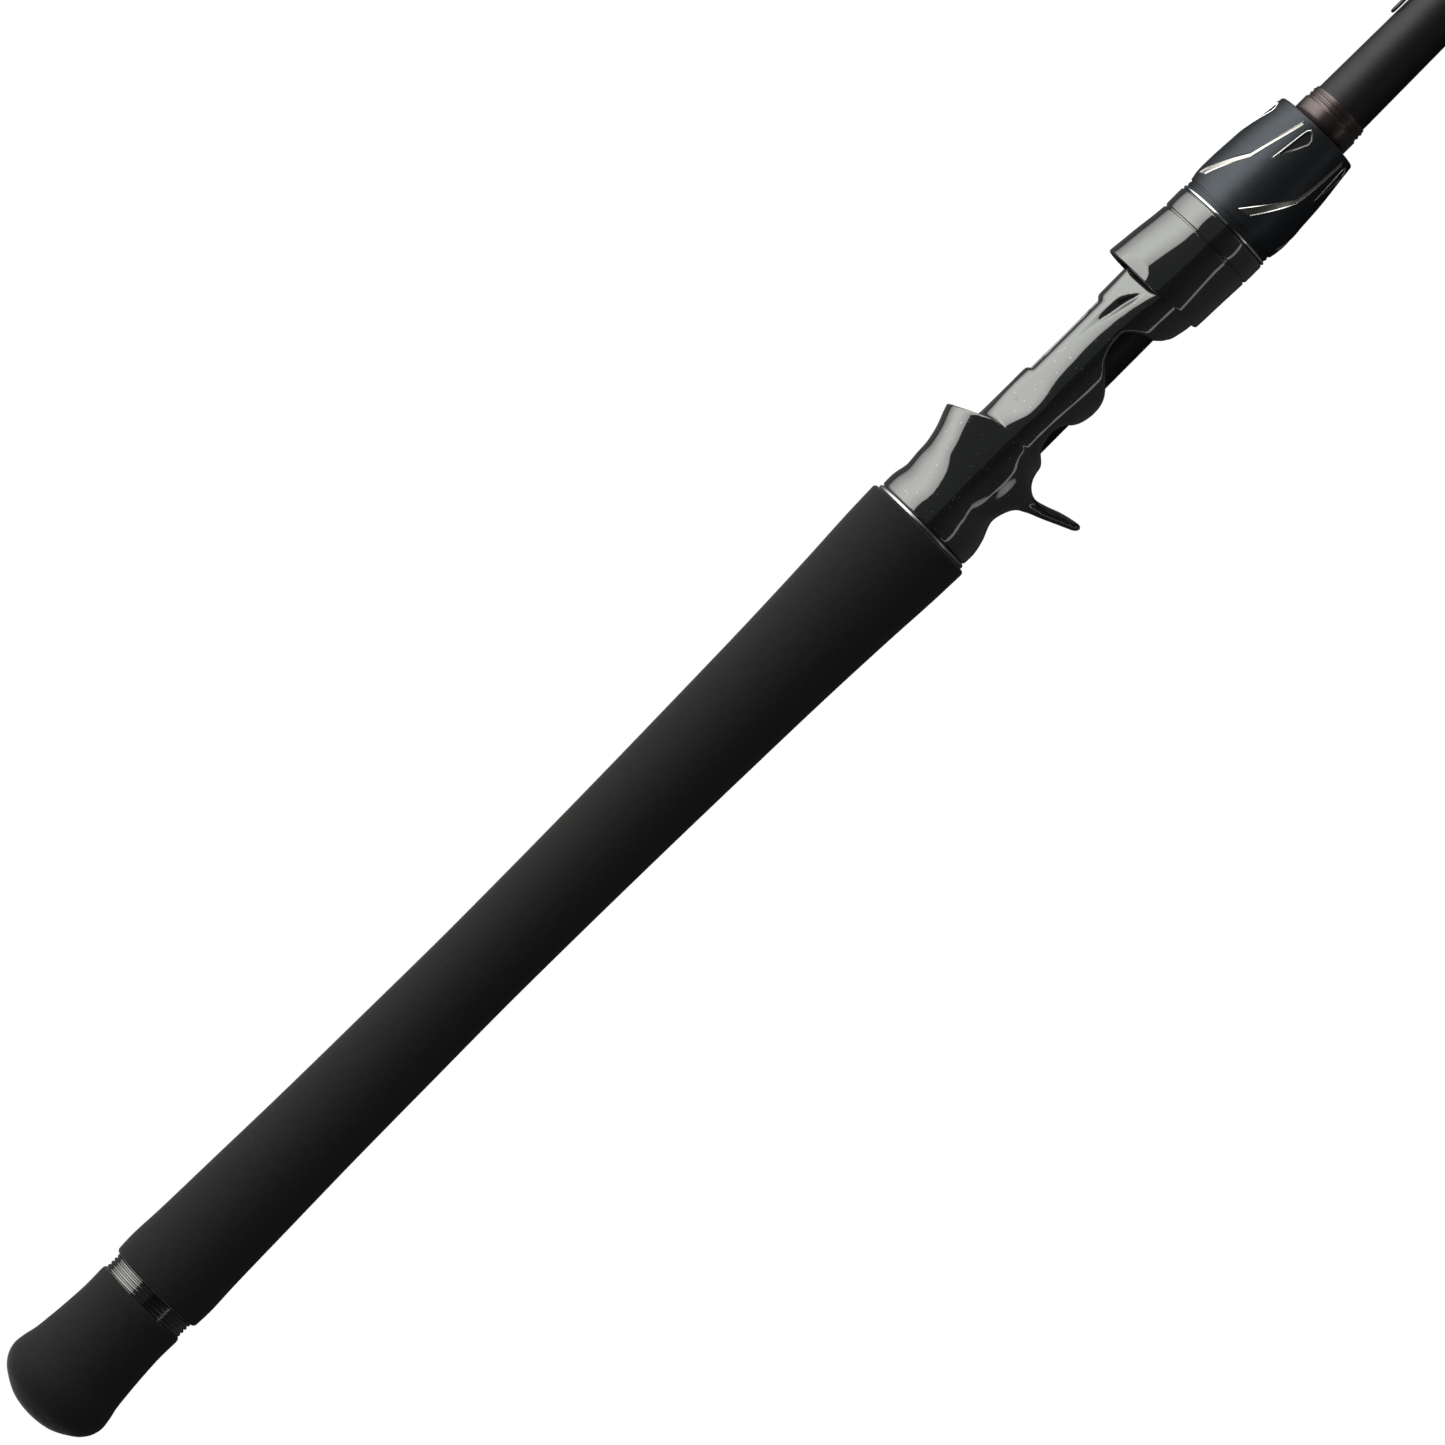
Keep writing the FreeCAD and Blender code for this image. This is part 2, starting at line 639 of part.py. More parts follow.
# ---------------------------------------------------------------- guides
def wrap(x0, x1, foot_half, foot_top, foot):
    """Thread binding over a guide's foot: a sleeve round the blank with a low hump over the foot."""
    mid_r = (blank_radius(x0) + blank_radius(x1)) / 2
    sleeve = turned(
        [(x0, 0), (x0, blank_radius(x0) + 0.15), (x0 + 1, blank_radius(x0 + 1) + WRAP_THICK),
         (x1 - 1, blank_radius(x1 - 1) + WRAP_THICK), (x1, blank_radius(x1) + 0.15), (x1, 0)]
    )
    hump = box(x0 + 1, x1 - 1, -foot_half - 0.3, foot_half + 0.3, mid_r * 0.5, foot_top + 0.3)
    return sleeve.fuse(hump).cut([blank_outside(), foot])


def ring_band(x, centre_z, ring_r):
    """Thin hoop round the ceramic ring."""
    half_width = 0.5
    outline = [
        (x - half_width, ring_r),
        (x - half_width, ring_r + BAND),
        (x + half_width, ring_r + BAND),
        (x + half_width, ring_r),
    ]
    return turned(outline, centre_z)


def guide_frame(x, size, height, double):
    """Hoop that holds the ring, with one or two flat legs down to the feet bound to the blank."""
    ring_r = size / 2
    centre_z = blank_radius(x) + height
    hoop_foot = centre_z - ring_r - BAND
    half = max(0.8, size * 0.12)
    reach, foot_len = height * 0.75, 5.0 + size * 0.7
    frame = ring_band(x, centre_z, ring_r)
    feet = []
    for side in (1, -1) if double else (1,):
        knee = x + side * reach
        toe = knee + side * foot_len
        base = max(blank_radius(knee - side), blank_radius(toe)) + 0.03
        leg = side_plate(
            [
                (toe, base),
                (toe, base + 0.25),
                (knee + side * 0.4, base + FOOT_THICK),
                (x + side * 0.45, hoop_foot + BAND * 0.7),
                (x - side * 0.35, hoop_foot + BAND * 0.3),
                (knee - side * 0.8, base),
            ],
            half,
        )
        frame = frame.fuse(leg)
        feet.append((knee + side * 0.8, toe + side * 1.5, half, base + FOOT_THICK))
    return frame, feet


def guide_ring(x, size, centre_z):
    """Ceramic ring with rounded edges inside the band."""
    outer, inner = size / 2, size / 2 - RING_WALL
    lip = 0.35
    x0, x1 = x - RING_WIDTH / 2, x + RING_WIDTH / 2
    return turned(
        [
            (x0, inner + lip),
            (x0, outer - 0.15),
            (x0 + 0.15, outer),
            (x1 - 0.15, outer),
            (x1, outer - 0.15),
            (x1, inner + lip),
            (x1 - lip, inner),
            (x0 + lip, inner),
        ],
        centre_z,
    )


def tip_top():
    """Tube glued over the tip, with the last ring carried above its end on a hoop."""
    sleeve_len, wall = 12.0, 0.5
    x = TIP_X
    radius = blank_radius(x - sleeve_len) + 0.02
    ring_r = TIP_RING / 2
    centre_z = 5.2
    end = x - 0.5
    sleeve = turned([(x - sleeve_len, 0), (x - sleeve_len, radius + wall), (end, radius + wall), (end, 0)])
    hoop_foot = centre_z - ring_r - BAND
    leg = side_plate(
        [
            (x - 5.0, radius + 0.1),
            (x - 5.0, radius + wall + 0.2),
            (x - 0.4, hoop_foot + BAND * 0.8),
            (x + 0.35, hoop_foot + BAND * 0.6),
            (x + 0.35, radius + 0.1),
        ],
        0.7,
    )
    return sleeve.fuse(leg).cut(blank_outside()).fuse(ring_band(x, centre_z, ring_r)), centre_z


# ---------------------------------------------------------------- output
def save(name, shape):
    if shape.ShapeType == "Compound" and len(shape.Solids) == 1:
        shape = shape.Solids[0]
    if not shape.isValid() or not shape.Solids:
        print("INVALID", name, shape.ShapeType, len(shape.Solids))
    shape.exportStep(os.path.join("parts", name + ".step"))
    print(f"{name:24s} solids {len(shape.Solids)} volume {shape.Volume:10.1f}")


def main():
    os.makedirs("parts", exist_ok=True)
    save("blank", blank())
    save("butt_grip", butt_grip())
    save("butt_ring", butt_ring())
    save("rear_grip", rear_grip())
    save("grip_check", grip_check())
    save("seat_body", seat_body())
    save("seat_arbor_rear", arbor(1.0, 29.0))
    save("seat_arbor_front", arbor(80.0, 133.0))
    save("fixed_hood_liner", fixed_hood_liner())
    save("sliding_hood", sliding_hood())
    save("hood_liner", hood_liner())
    save("hood_collar", hood_collar())
    save("nut_ring", nut_ring())
    save("nut_shell", nut_shell())
    save("nut_core", nut_core())
    save("front_check", front_check())
    foot = keeper_foot()
    save("keeper_foot", foot)
    save("keeper_loop", keeper_loop())
    pivot_r = blank_radius(KEEPER_PIVOT_X)
    save("keeper_wrap", wrap(KEEPER_PIVOT_X + 2.0, KEEPER_PIVOT_X + 9.5, 1.3, pivot_r + 0.5, foot))
    for number, (from_tip, size, height, double) in enumerate(GUIDES, 1):
        x = TIP_X - from_tip
        frame, feet = guide_frame(x, size, height, double)
        save(f"guide_{number}_frame", frame)
        save(f"guide_{number}_ring", guide_ring(x, size, blank_radius(x) + height))
        bindings = [wrap(min(a, b), max(a, b), half, top, frame) for a, b, half, top in feet]
        save(f"guide_{number}_wraps", Part.makeCompound(bindings))
    tip, ring_z = tip_top()
    save("tip_top_frame", tip)
    save("tip_top_ring", guide_ring(TIP_X, TIP_RING, ring_z))


main()
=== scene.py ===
import bmesh
import bpy
import math
import numpy as np
from mathutils import Matrix, Vector
from mathutils.geometry import delaunay_2d_cdt


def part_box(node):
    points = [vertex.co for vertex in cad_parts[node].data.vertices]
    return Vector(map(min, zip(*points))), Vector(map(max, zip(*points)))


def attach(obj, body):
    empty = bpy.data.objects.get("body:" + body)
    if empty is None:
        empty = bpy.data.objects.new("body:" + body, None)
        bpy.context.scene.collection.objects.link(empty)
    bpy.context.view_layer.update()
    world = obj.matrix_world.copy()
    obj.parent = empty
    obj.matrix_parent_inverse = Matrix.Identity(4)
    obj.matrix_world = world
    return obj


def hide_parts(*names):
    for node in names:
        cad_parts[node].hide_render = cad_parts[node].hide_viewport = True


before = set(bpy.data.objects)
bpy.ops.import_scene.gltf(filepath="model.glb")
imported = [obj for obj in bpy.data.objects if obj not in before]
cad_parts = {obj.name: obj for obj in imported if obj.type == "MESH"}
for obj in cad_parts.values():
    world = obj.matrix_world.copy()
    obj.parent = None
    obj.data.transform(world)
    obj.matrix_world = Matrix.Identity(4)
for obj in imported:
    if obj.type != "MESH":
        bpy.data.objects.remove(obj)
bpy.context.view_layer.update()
print("stage: packed frame loaded")

# millimetres along the rod; a station is counted from the reel seat's rear face
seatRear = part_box("seat_body")[0][0] * 1000
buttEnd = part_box("butt_grip")[0][0] * 1000
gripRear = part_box("rear_grip")[0][0] * 1000
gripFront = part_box("rear_grip")[1][0] * 1000
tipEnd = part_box("blank")[1][0] * 1000


# mesh helpers
def linkNew(name, data):
    made = bpy.data.objects.new(name, data)
    bpy.context.collection.objects.link(made)
    return made


def addPiece(name, points, faces, materials, faceMaterial=None, sharp=None):
    mesh = bpy.data.meshes.new(name)
    mesh.from_pydata([tuple(p) for p in np.asarray(points, float) / 1000], [], [tuple(f) for f in faces])
    for material in materials:
        mesh.materials.append(material)
    mesh.polygons.foreach_set("use_smooth", [True] * len(mesh.polygons))
    if faceMaterial is not None:
        mesh.polygons.foreach_set("material_index", np.asarray(faceMaterial, np.int32))
    if sharp:
        mesh.set_sharp_from_angle(angle=math.radians(sharp))
    mesh.update()
    return linkNew(name, mesh)


def standFor(piece, body, slot, *nodes):
    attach(piece, body)
    if nodes:
        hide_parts(*nodes)
    return piece


def turnedPiece(name, outline, material, segments=128, sharp=35):
    # closed outline of (x, radius), drawn so that its faces point outwards
    points, faces, ring = [], [], []
    angles = [2 * math.pi * n / segments for n in range(segments)]
    for x, radius in outline:
        if radius <= 0:
            ring.append([len(points)] * segments)
            points.append((x, 0, 0))
        else:
            ring.append([len(points) + n for n in range(segments)])
            points += [(x, radius * math.sin(a), radius * math.cos(a)) for a in angles]
    for i in range(len(outline)):
        a, b = ring[i], ring[(i + 1) % len(outline)]
        for n in range(segments):
            m = (n + 1) % segments
            corners = list(dict.fromkeys([a[n], a[m], b[m], b[n]]))
            if len(corners) > 2:
                faces.append(corners)
    return addPiece(name, points, faces, [material], sharp=sharp)


# implicit shapes: negative inside, in millimetres
def curveThrough(stations, values):
    xs, ys = np.array(stations, float), np.array(values, float)
    slopes = np.gradient(ys, xs)

    def read(at):
        at = np.clip(at, xs[0], xs[-1])
        n = np.clip(np.searchsorted(xs, at) - 1, 0, len(xs) - 2)
        width = xs[n + 1] - xs[n]
        t = (at - xs[n]) / width
        return (
            (2 * t**3 - 3 * t**2 + 1) * ys[n]
            + (t**3 - 2 * t**2 + t) * width * slopes[n]
            + (3 * t**2 - 2 * t**3) * ys[n + 1]
            + (t**3 - t**2) * width * slopes[n + 1]
        )

    return read


def softMax(a, b, blend):
    share = np.maximum(blend - np.abs(a - b), 0) / blend
    return np.maximum(a, b) + share * share * blend / 4


def softMin(a, b, blend):
    return -softMax(-a, -b, blend)


def ovalField(y, z, top, low, half, squareness=2.0):
    # an ellipse whose top, bottom and half width differ; over 2 it grows shoulders
    height = np.where(z > 0, top, low)
    wide, tall = np.abs(y) / half + 1e-9, np.abs(z) / height + 1e-9
    reach = (wide**squareness + tall**squareness) ** (1 / squareness)
    slopeY = (wide / reach) ** (squareness - 1) / half
    slopeZ = (tall / reach) ** (squareness - 1) / height
    return (reach - 1) / np.sqrt(slopeY**2 + slopeZ**2)


def polygonField(u, v, corners):
    distance = np.full(np.shape(u), 1e9)
    side = np.ones(np.shape(u))
    for n in range(len(corners)):
        (ax, ay), (bx, by) = corners[n], corners[n - 1]
        ex, ey = bx - ax, by - ay
        wx, wy = u - ax, v - ay
        t = np.clip((wx * ex + wy * ey) / (ex * ex + ey * ey), 0, 1)
        distance = np.minimum(distance, (wx - ex * t) ** 2 + (wy - ey * t) ** 2)
        above, below, left = v >= ay, v < by, ex * wy > ey * wx
        flip = (above & below & left) | (~above & ~below & ~left)
        side = np.where(flip, -side, side)
    return side * np.sqrt(distance)


def netPiece(name, field, low, high, step, materials, pick=None, sharp=None):
    # surface nets over the field, then each point is slid onto the surface
    axes = [np.arange(a, b + step, step) for a, b in zip(low, high)]
    grid = np.meshgrid(*axes, indexing="ij")
    value = field(*grid)
    cells = tuple(n - 1 for n in value.shape)
    total, count = np.zeros(cells + (3,)), np.zeros(cells)
    crossings = []
    for axis in range(3):
        near = np.take(value, range(0, value.shape[axis] - 1), axis)
        far = np.take(value, range(1, value.shape[axis]), axis)
        cross = (near < 0) != (far < 0)
        share = np.where(cross, near / np.where(cross, near - far, 1), 0)
        others = [n for n in range(3) if n != axis]
        for du in (0, 1):
            for dv in (0, 1):
                part = [slice(None)] * 3
                part[others[0]] = slice(du, du + cells[others[0]])
                part[others[1]] = slice(dv, dv + cells[others[1]])
                hit = cross[tuple(part)]
                total[..., axis] += np.where(hit, share[tuple(part)], 0)
                total[..., others[0]] += hit * du
                total[..., others[1]] += hit * dv
                count += hit
        crossings.append((cross, near < 0))
    used = count > 0
    index = np.full(cells, -1)
    index[used] = np.arange(used.sum())
    points = (np.argwhere(used) + total[used] / count[used][:, None]) * step + np.array([a[0] for a in axes])
    faces = []
    for axis, (cross, inside) in enumerate(crossings):
        u, v = (axis + 1) % 3, (axis + 2) % 3
        at = np.argwhere(cross)
        inner = (at[:, u] > 0) & (at[:, v] > 0)
        inner &= (at[:, u] < value.shape[u] - 1) & (at[:, v] < value.shape[v] - 1)
        at = at[inner]
        forward = inside[tuple(at.T)]
        ring = []
        for du, dv in ((-1, -1), (0, -1), (0, 0), (-1, 0)):
            cell = at.copy()
            cell[:, u] += du
            cell[:, v] += dv
            ring.append(index[tuple(cell.T)])
        quad = np.stack(ring, 1)
        quad[~forward] = quad[~forward][:, ::-1]
        faces.append(quad)
    faces = np.concatenate(faces)
    small = step * 0.05
    for _ in range(4):
        here = field(*points.T)
        slope = np.stack(
            [
                field(*(points + small * np.eye(3)[n]).T) - field(*(points - small * np.eye(3)[n]).T)
                for n in range(3)
            ],
            1,
        ) / (2 * small)
        move = slope * (here / np.maximum((slope**2).sum(1), 0.05))[:, None]
        length = np.linalg.norm(move, axis=1, keepdims=True)
        points -= move * np.minimum(1, step * 0.4 / np.maximum(length, 1e-9))
    chosen = None
    if pick is not None:
        chosen = pick(*points[faces].mean(1).T)
    return addPiece(name, points, faces.tolist(), materials, chosen, sharp)


# shader groups
def newGroup(name, inputs, outputs):
    group = bpy.data.node_groups.new(name, "ShaderNodeTree")
    for label, kind, value in inputs:
        socket = group.interface.new_socket(label, in_out="INPUT", socket_type=kind)
        socket.default_value = value
    for label, kind in outputs:
        group.interface.new_socket(label, in_out="OUTPUT", socket_type=kind)
    return group, group.nodes.new("NodeGroupInput"), group.nodes.new("NodeGroupOutput")


def addNode(tree, kind, inputs=None, **settings):
    node = tree.nodes.new(kind)
    for key, value in settings.items():
        setattr(node, key, value)
    for key, value in (inputs or {}).items():
        if isinstance(value, bpy.types.NodeSocket):
            tree.links.new(value, node.inputs[key])
        else:
            node.inputs[key].default_value = value
    return node


def mixColour(tree, share, first, second):
    return addNode(tree, "ShaderNodeMix", {0: share, 6: first, 7: second}, data_type="RGBA").outputs[2]


def mathNode(tree, operation, first, second, **settings):
    node = addNode(tree, "ShaderNodeMath", {0: first, 1: second}, operation=operation, **settings)
    return node.outputs[0]


def makeGrainGroup():
    # fine two-size grain: a colour shade from 0 to 1 and a height
    group, entry, leave = newGroup(
        "fineGrain",
        [
            ("Scale", "NodeSocketFloat", 900.0),
            ("Fine Scale", "NodeSocketFloat", 4000.0),
            ("Contrast", "NodeSocketFloat", 0.5),
        ],
        [("Shade", "NodeSocketFloat"), ("Height", "NodeSocketFloat")],
    )
    place = addNode(group, "ShaderNodeTexCoord")
    coarse = addNode(
        group, "ShaderNodeTexNoise",
        {"Vector": place.outputs["Object"], "Scale": entry.outputs["Scale"], "Detail": 3.0},
    )
    fine = addNode(
        group, "ShaderNodeTexNoise",
        {"Vector": place.outputs["Object"], "Scale": entry.outputs["Fine Scale"], "Detail": 2.0},
    )
    both = mathNode(group, "ADD", coarse.outputs["Fac"], fine.outputs["Fac"])
    centred = mathNode(group, "ADD", both, -1.0)
    scaled = mathNode(group, "MULTIPLY", centred, entry.outputs["Contrast"])
    shade = mathNode(group, "ADD", scaled, 0.5, use_clamp=True)
    group.links.new(shade, leave.inputs["Shade"])
    group.links.new(both, leave.inputs["Height"])
    return group


def makeFlakeGroup():
    # sparse metal flakes, each with its own tint
    group, entry, leave = newGroup(
        "metalFlake",
        [
            ("Scale", "NodeSocketFloat", 700.0),
            ("Size", "NodeSocketFloat", 0.2),
            ("Share", "NodeSocketFloat", 0.2),
        ],
        [("Mask", "NodeSocketFloat"), ("Tint", "NodeSocketColor")],
    )
    place = addNode(group, "ShaderNodeTexCoord")
    cells = addNode(
        group, "ShaderNodeTexVoronoi",
        {"Vector": place.outputs["Object"], "Scale": entry.outputs["Scale"]},
    )
    dot = mathNode(group, "LESS_THAN", cells.outputs["Distance"], entry.outputs["Size"])
    split = addNode(group, "ShaderNodeSeparateColor", {0: cells.outputs["Color"]})
    rare = mathNode(group, "LESS_THAN", split.outputs[0], entry.outputs["Share"])
    mask = mathNode(group, "MULTIPLY", dot, rare)
    ramp = addNode(group, "ShaderNodeValToRGB", {0: split.outputs[1]})
    ramp.color_ramp.elements[0].color = (0.24, 0.25, 0.26, 1)
    ramp.color_ramp.elements[1].color = (0.3, 0.12, 0.09, 1)
    gold = ramp.color_ramp.elements.new(0.6)
    gold.color = (0.3, 0.24, 0.12, 1)
    group.links.new(mask, leave.inputs["Mask"])
    group.links.new(ramp.outputs[0], leave.inputs["Tint"])
    return group


grainGroup = makeGrainGroup()
flakeGroup = makeFlakeGroup()


def newMaterial(name, settings):
    material = bpy.data.materials.new(name)
    material.use_nodes = True
    shader = material.node_tree.nodes["Principled BSDF"]
    for key, value in settings.items():
        shader.inputs[key].default_value = value
    return material, material.node_tree, shader


def grainedMaterial(
    name, dark, light, settings, scale=900.0, fineScale=4000.0, contrast=1.0, bump=0.1, depth=0.0001,
):
    material, tree, shader = newMaterial(name, settings)
    grain = addNode(tree, "ShaderNodeGroup", node_tree=grainGroup)
    grain.inputs["Scale"].default_value = scale
    grain.inputs["Fine Scale"].default_value = fineScale
    grain.inputs["Contrast"].default_value = contrast
    colour = mixColour(tree, grain.outputs["Shade"], (*dark, 1), (*light, 1))
    tree.links.new(colour, shader.inputs["Base Color"])
    if bump:
        raised = addNode(
            tree, "ShaderNodeBump",
            {"Height": grain.outputs["Height"], "Strength": bump, "Distance": depth},
        )
        tree.links.new(raised.outputs[0], shader.inputs["Normal"])
    return material


def flakedMaterial(name, base, settings, flakes):
    material, tree, shader = newMaterial(name, settings)
    group = addNode(tree, "ShaderNodeGroup", node_tree=flakeGroup)
    for key, value in flakes.items():
        group.inputs[key].default_value = value
    colour = mixColour(tree, group.outputs["Mask"], (*base, 1), group.outputs["Tint"])
    tree.links.new(colour, shader.inputs["Base Color"])
    metal = mathNode(tree, "MULTIPLY", group.outputs["Mask"], 0.6)
    tree.links.new(metal, shader.inputs["Metallic"])
    return material


finishes = {
    "gloss": {"Roughness": 0.06, "IOR": 1.62, "Coat Weight": 1.0, "Coat Roughness": 0.03, "Coat IOR": 1.6},
    "satin": {"Metallic": 0.75, "Roughness": 0.4, "Specular Tint": (0.35, 0.36, 0.38, 1)},
    "matte": {"Metallic": 0.7, "Roughness": 0.5, "Specular Tint": (0.35, 0.35, 0.36, 1)},
    "foam": {"Roughness": 0.9, "IOR": 1.3, "Sheen Weight": 0.22, "Sheen Roughness": 0.3,
             # a faint painted glow, so that the shaded side stays a soft black
             "Emission Color": (0.96, 0.97, 1.0, 1), "Emission Strength": 0.004},
}
foamMaterial = grainedMaterial(
    "closedCellFoam", (0.0022, 0.0022, 0.0023), (0.0058, 0.0055, 0.0052), finishes["foam"], 700.0, 2600.0,
    1.3, 0.35, 0.0003
)
seatFlakes = {"Scale": 1250.0, "Size": 0.16, "Share": 0.2}
seatMaterial = flakedMaterial("glossFlakeBlack", (0.0095, 0.01, 0.0105), finishes["gloss"], seatFlakes)
hoodMaterial = grainedMaterial(
    "glossBlack", (0.0085, 0.009, 0.0094), (0.0115, 0.012, 0.0126), finishes["gloss"], 120.0, 600.0, 0.8, 0.0
)
nutMaterial = grainedMaterial(
    "satinBlueBlack", (0.034, 0.037, 0.042), (0.044, 0.048, 0.055), finishes["satin"], 300.0, 3000.0, 0.9,
    0.05, 0.00005
)
facetMaterial = grainedMaterial(
    "greyFacet", (0.3, 0.285, 0.27), (0.4, 0.38, 0.36), {"Metallic": 1.0, "Roughness": 0.33}, 300.0,
    2500.0, 0.8, 0.03
)
brightEdge = grainedMaterial(
    "brightEdge", (0.5, 0.49, 0.47), (0.7, 0.69, 0.67), {"Metallic": 1.0, "Roughness": 0.22}, 800.0,
    3000.0, 0.7, 0.0
)
chromeMaterial = grainedMaterial(
    "brightRing", (0.62, 0.62, 0.63), (0.75, 0.75, 0.76), {"Metallic": 1.0, "Roughness": 0.12}, 600.0,
    3000.0, 0.6, 0.0
)
gunMaterial = grainedMaterial(
    "gunmetalTurned", (0.055, 0.045, 0.045), (0.11, 0.085, 0.082), {"Metallic": 0.85, "Roughness": 0.3},
    250.0, 2500.0, 0.9, 0.04
)
blankMaterial = grainedMaterial(
    "satinCharcoal", (0.024, 0.024, 0.025), (0.034, 0.034, 0.035), finishes["matte"], 200.0, 3500.0, 0.9,
    0.04, 0.00005
)
ringMaterial = grainedMaterial(
    "glossTrim", (0.006, 0.006, 0.006), (0.011, 0.011, 0.011), finishes["gloss"], 300.0, 2500.0, 0.7, 0.0
)
steelMaterial = grainedMaterial(
    "satinSteel", (0.32, 0.32, 0.33), (0.45, 0.45, 0.46), {"Metallic": 1.0, "Roughness": 0.32}, 500.0,
    4000.0, 0.8, 0.05
)
wireMaterial = grainedMaterial(
    "darkWire", (0.035, 0.035, 0.035), (0.06, 0.06, 0.06), {"Metallic": 0.9, "Roughness": 0.3}, 700.0,
    4000.0, 0.8, 0.03
)
ceramicMaterial = grainedMaterial(
    "polishedCeramic", (0.02, 0.02, 0.022), (0.035, 0.035, 0.038), finishes["gloss"], 500.0, 3000.0, 0.6, 0.0
)
threadMaterial = grainedMaterial(
    "boundThread", (0.006, 0.006, 0.007), (0.016, 0.016, 0.018),
    {"Roughness": 0.4, "Coat Weight": 0.8, "Coat Roughness": 0.08},
    500.0, 5000.0, 1.2, 0.1
)
shimMaterial = grainedMaterial(
    "plainMoulded", (0.01, 0.01, 0.01), (0.018, 0.018, 0.018), {"Roughness": 0.5}, 400.0, 3000.0, 0.9, 0.05
)
print("stage: materials made")


# grips and blank
blankShape = {
    "stations": [-300.0, 0.0, 136.0, 175.0, 402.0, 752.0, 1152.0, 1552.0],
    "radii": [8.0, 8.0, 7.45, 7.05, 6.1, 4.7, 3.2, 2.0],
    "tipRadius": 1.05,
    "start": -290.6,
}


def makeBlank(shape):
    stations = shape["stations"] + [tipEnd - seatRear]
    radii = shape["radii"] + [shape["tipRadius"]]
    length = tipEnd - seatRear - shape["start"]
    outline = [(seatRear + shape["start"], 0.0)]
    for n in range(161):
        station = shape["start"] + length * n / 160
        outline.append((seatRear + station, float(np.interp(station, stations, radii))))
    outline.append((tipEnd, 0.0))
    return turnedPiece("rodBlank", outline, blankMaterial, 96)


standFor(makeBlank(blankShape), "rod", "blank", "blank")

gripShape = {
    "line": [
        (0.8, 13.05), (4.0, 13.2), (14.0, 12.85), (33.0, 12.4), (52.5, 11.95), (81.0, 11.6),
        (110.0, 11.35), (129.0, 11.47), (158.0, 11.85), (187.0, 12.45), (215.5, 13.2), (234.8, 14.0),
        (250.0, 14.8), (257.9, 15.05),
    ],
    "edge": 0.9,
    "bore": 8.0,
}


def makeGrip(shape):
    line = shape["line"]
    read = curveThrough([p[0] for p in line], [p[1] for p in line])
    length = gripFront - gripRear
    edge, bore = shape["edge"], shape["bore"]
    outline = [(gripRear, bore)]
    steps = 8
    for n in range(steps + 1):
        a = math.pi / 2 * n / steps
        outline.append((gripRear + edge * (1 - math.cos(a)), float(read(edge)) - edge * (1 - math.sin(a))))
    for n in range(1, 160):
        x = edge + (length - 2 * edge) * n / 160
        outline.append((gripRear + x, float(read(x))))
    for n in range(steps + 1):
        a = math.pi / 2 * n / steps
        drop = edge * (1 - math.cos(a))
        outline.append((gripFront - edge + edge * math.sin(a), float(read(length - edge)) - drop))
    outline.append((gripFront, bore))
    return turnedPiece("mainGrip", outline, foamMaterial, 128)


standFor(makeGrip(gripShape), "rod", "foam", "rear_grip")

buttShape = {
    "line": [
        (0.25, 3.0), (0.96, 6.2), (2.9, 10.0), (4.8, 12.5), (6.7, 13.9), (9.4, 14.75), (12.5, 14.5),
        (15.4, 13.85), (20.0, 13.3), (25.9, 12.8), (31.7, 12.5), (37.0, 12.6),
    ],
    "length": 38.3,
}


def makeButt(shape):
    line = shape["line"]
    # the domed end is read by angle so that it meets the axis square
    along = np.cumsum([0] + [math.dist(a, b) for a, b in zip([(0, 0)] + line, line)])
    xs = curveThrough(along, [0.0] + [p[0] for p in line])
    rs = curveThrough(along, [0.0] + [p[1] for p in line])
    outline = [(buttEnd, 0.0)]
    for n in range(1, 81):
        t = along[-1] * n / 80
        outline.append((buttEnd + max(0.0, float(xs(t))), float(rs(t))))
    front = buttEnd + shape["length"]
    outline += [(front - 0.5, 12.5), (front, 12.0), (front, 0.0)]
    return turnedPiece("buttKnob", outline, foamMaterial, 128)


standFor(makeButt(buttShape), "rod", "foam", "butt_grip")


buttRingShape = {"ribs": 4, "bore": 8.0, "root": 11.7, "rise": 0.4, "ribShare": 0.8, "roundness": 0.6}


def makeButtRing(shape):
    start, end = (corner[0] * 1000 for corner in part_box("butt_ring"))
    pitch = (end - start) / shape["ribs"]
    root, share = shape["root"], shape["ribShare"]
    outline = [(start, shape["bore"]), (start, root)]
    for n in range(shape["ribs"]):
        for m in range(9):
            rise = shape["rise"] * math.sin(math.pi * m / 8) ** shape["roundness"]
            outline.append((start + pitch * (n + (1 - share) / 2 + share * m / 8), root + rise))
    outline += [(end, root), (end, shape["bore"])]
    return turnedPiece("buttTrimRing", outline, ringMaterial, 128, 50)


standFor(makeButtRing(buttRingShape), "rod", "trim_black", "butt_ring")


def ringOutline(start, end, shape):
    # points of (distance, radius): the rear ones from the start, the front ones from the end
    return [(start + x, r) for x, r in shape["rear"]] + [(end + x, r) for x, r in shape["front"]]


gripRingShape = {
    "rear": [(0, 8.0), (0, 13.6), (0.25, 13.9)],
    "front": [(-0.45, 13.9), (-0.2, 13.6), (0, 13.3), (0, 8.0)],
}


def makeGripRing(shape):
    start, end = (corner[0] * 1000 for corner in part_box("grip_check"))
    return turnedPiece("gripRing", ringOutline(start, end, shape), steelMaterial, 128, 60)


standFor(makeGripRing(gripRingShape), "rod", "trim_metal", "grip_check")
print("stage: grips and blank made")


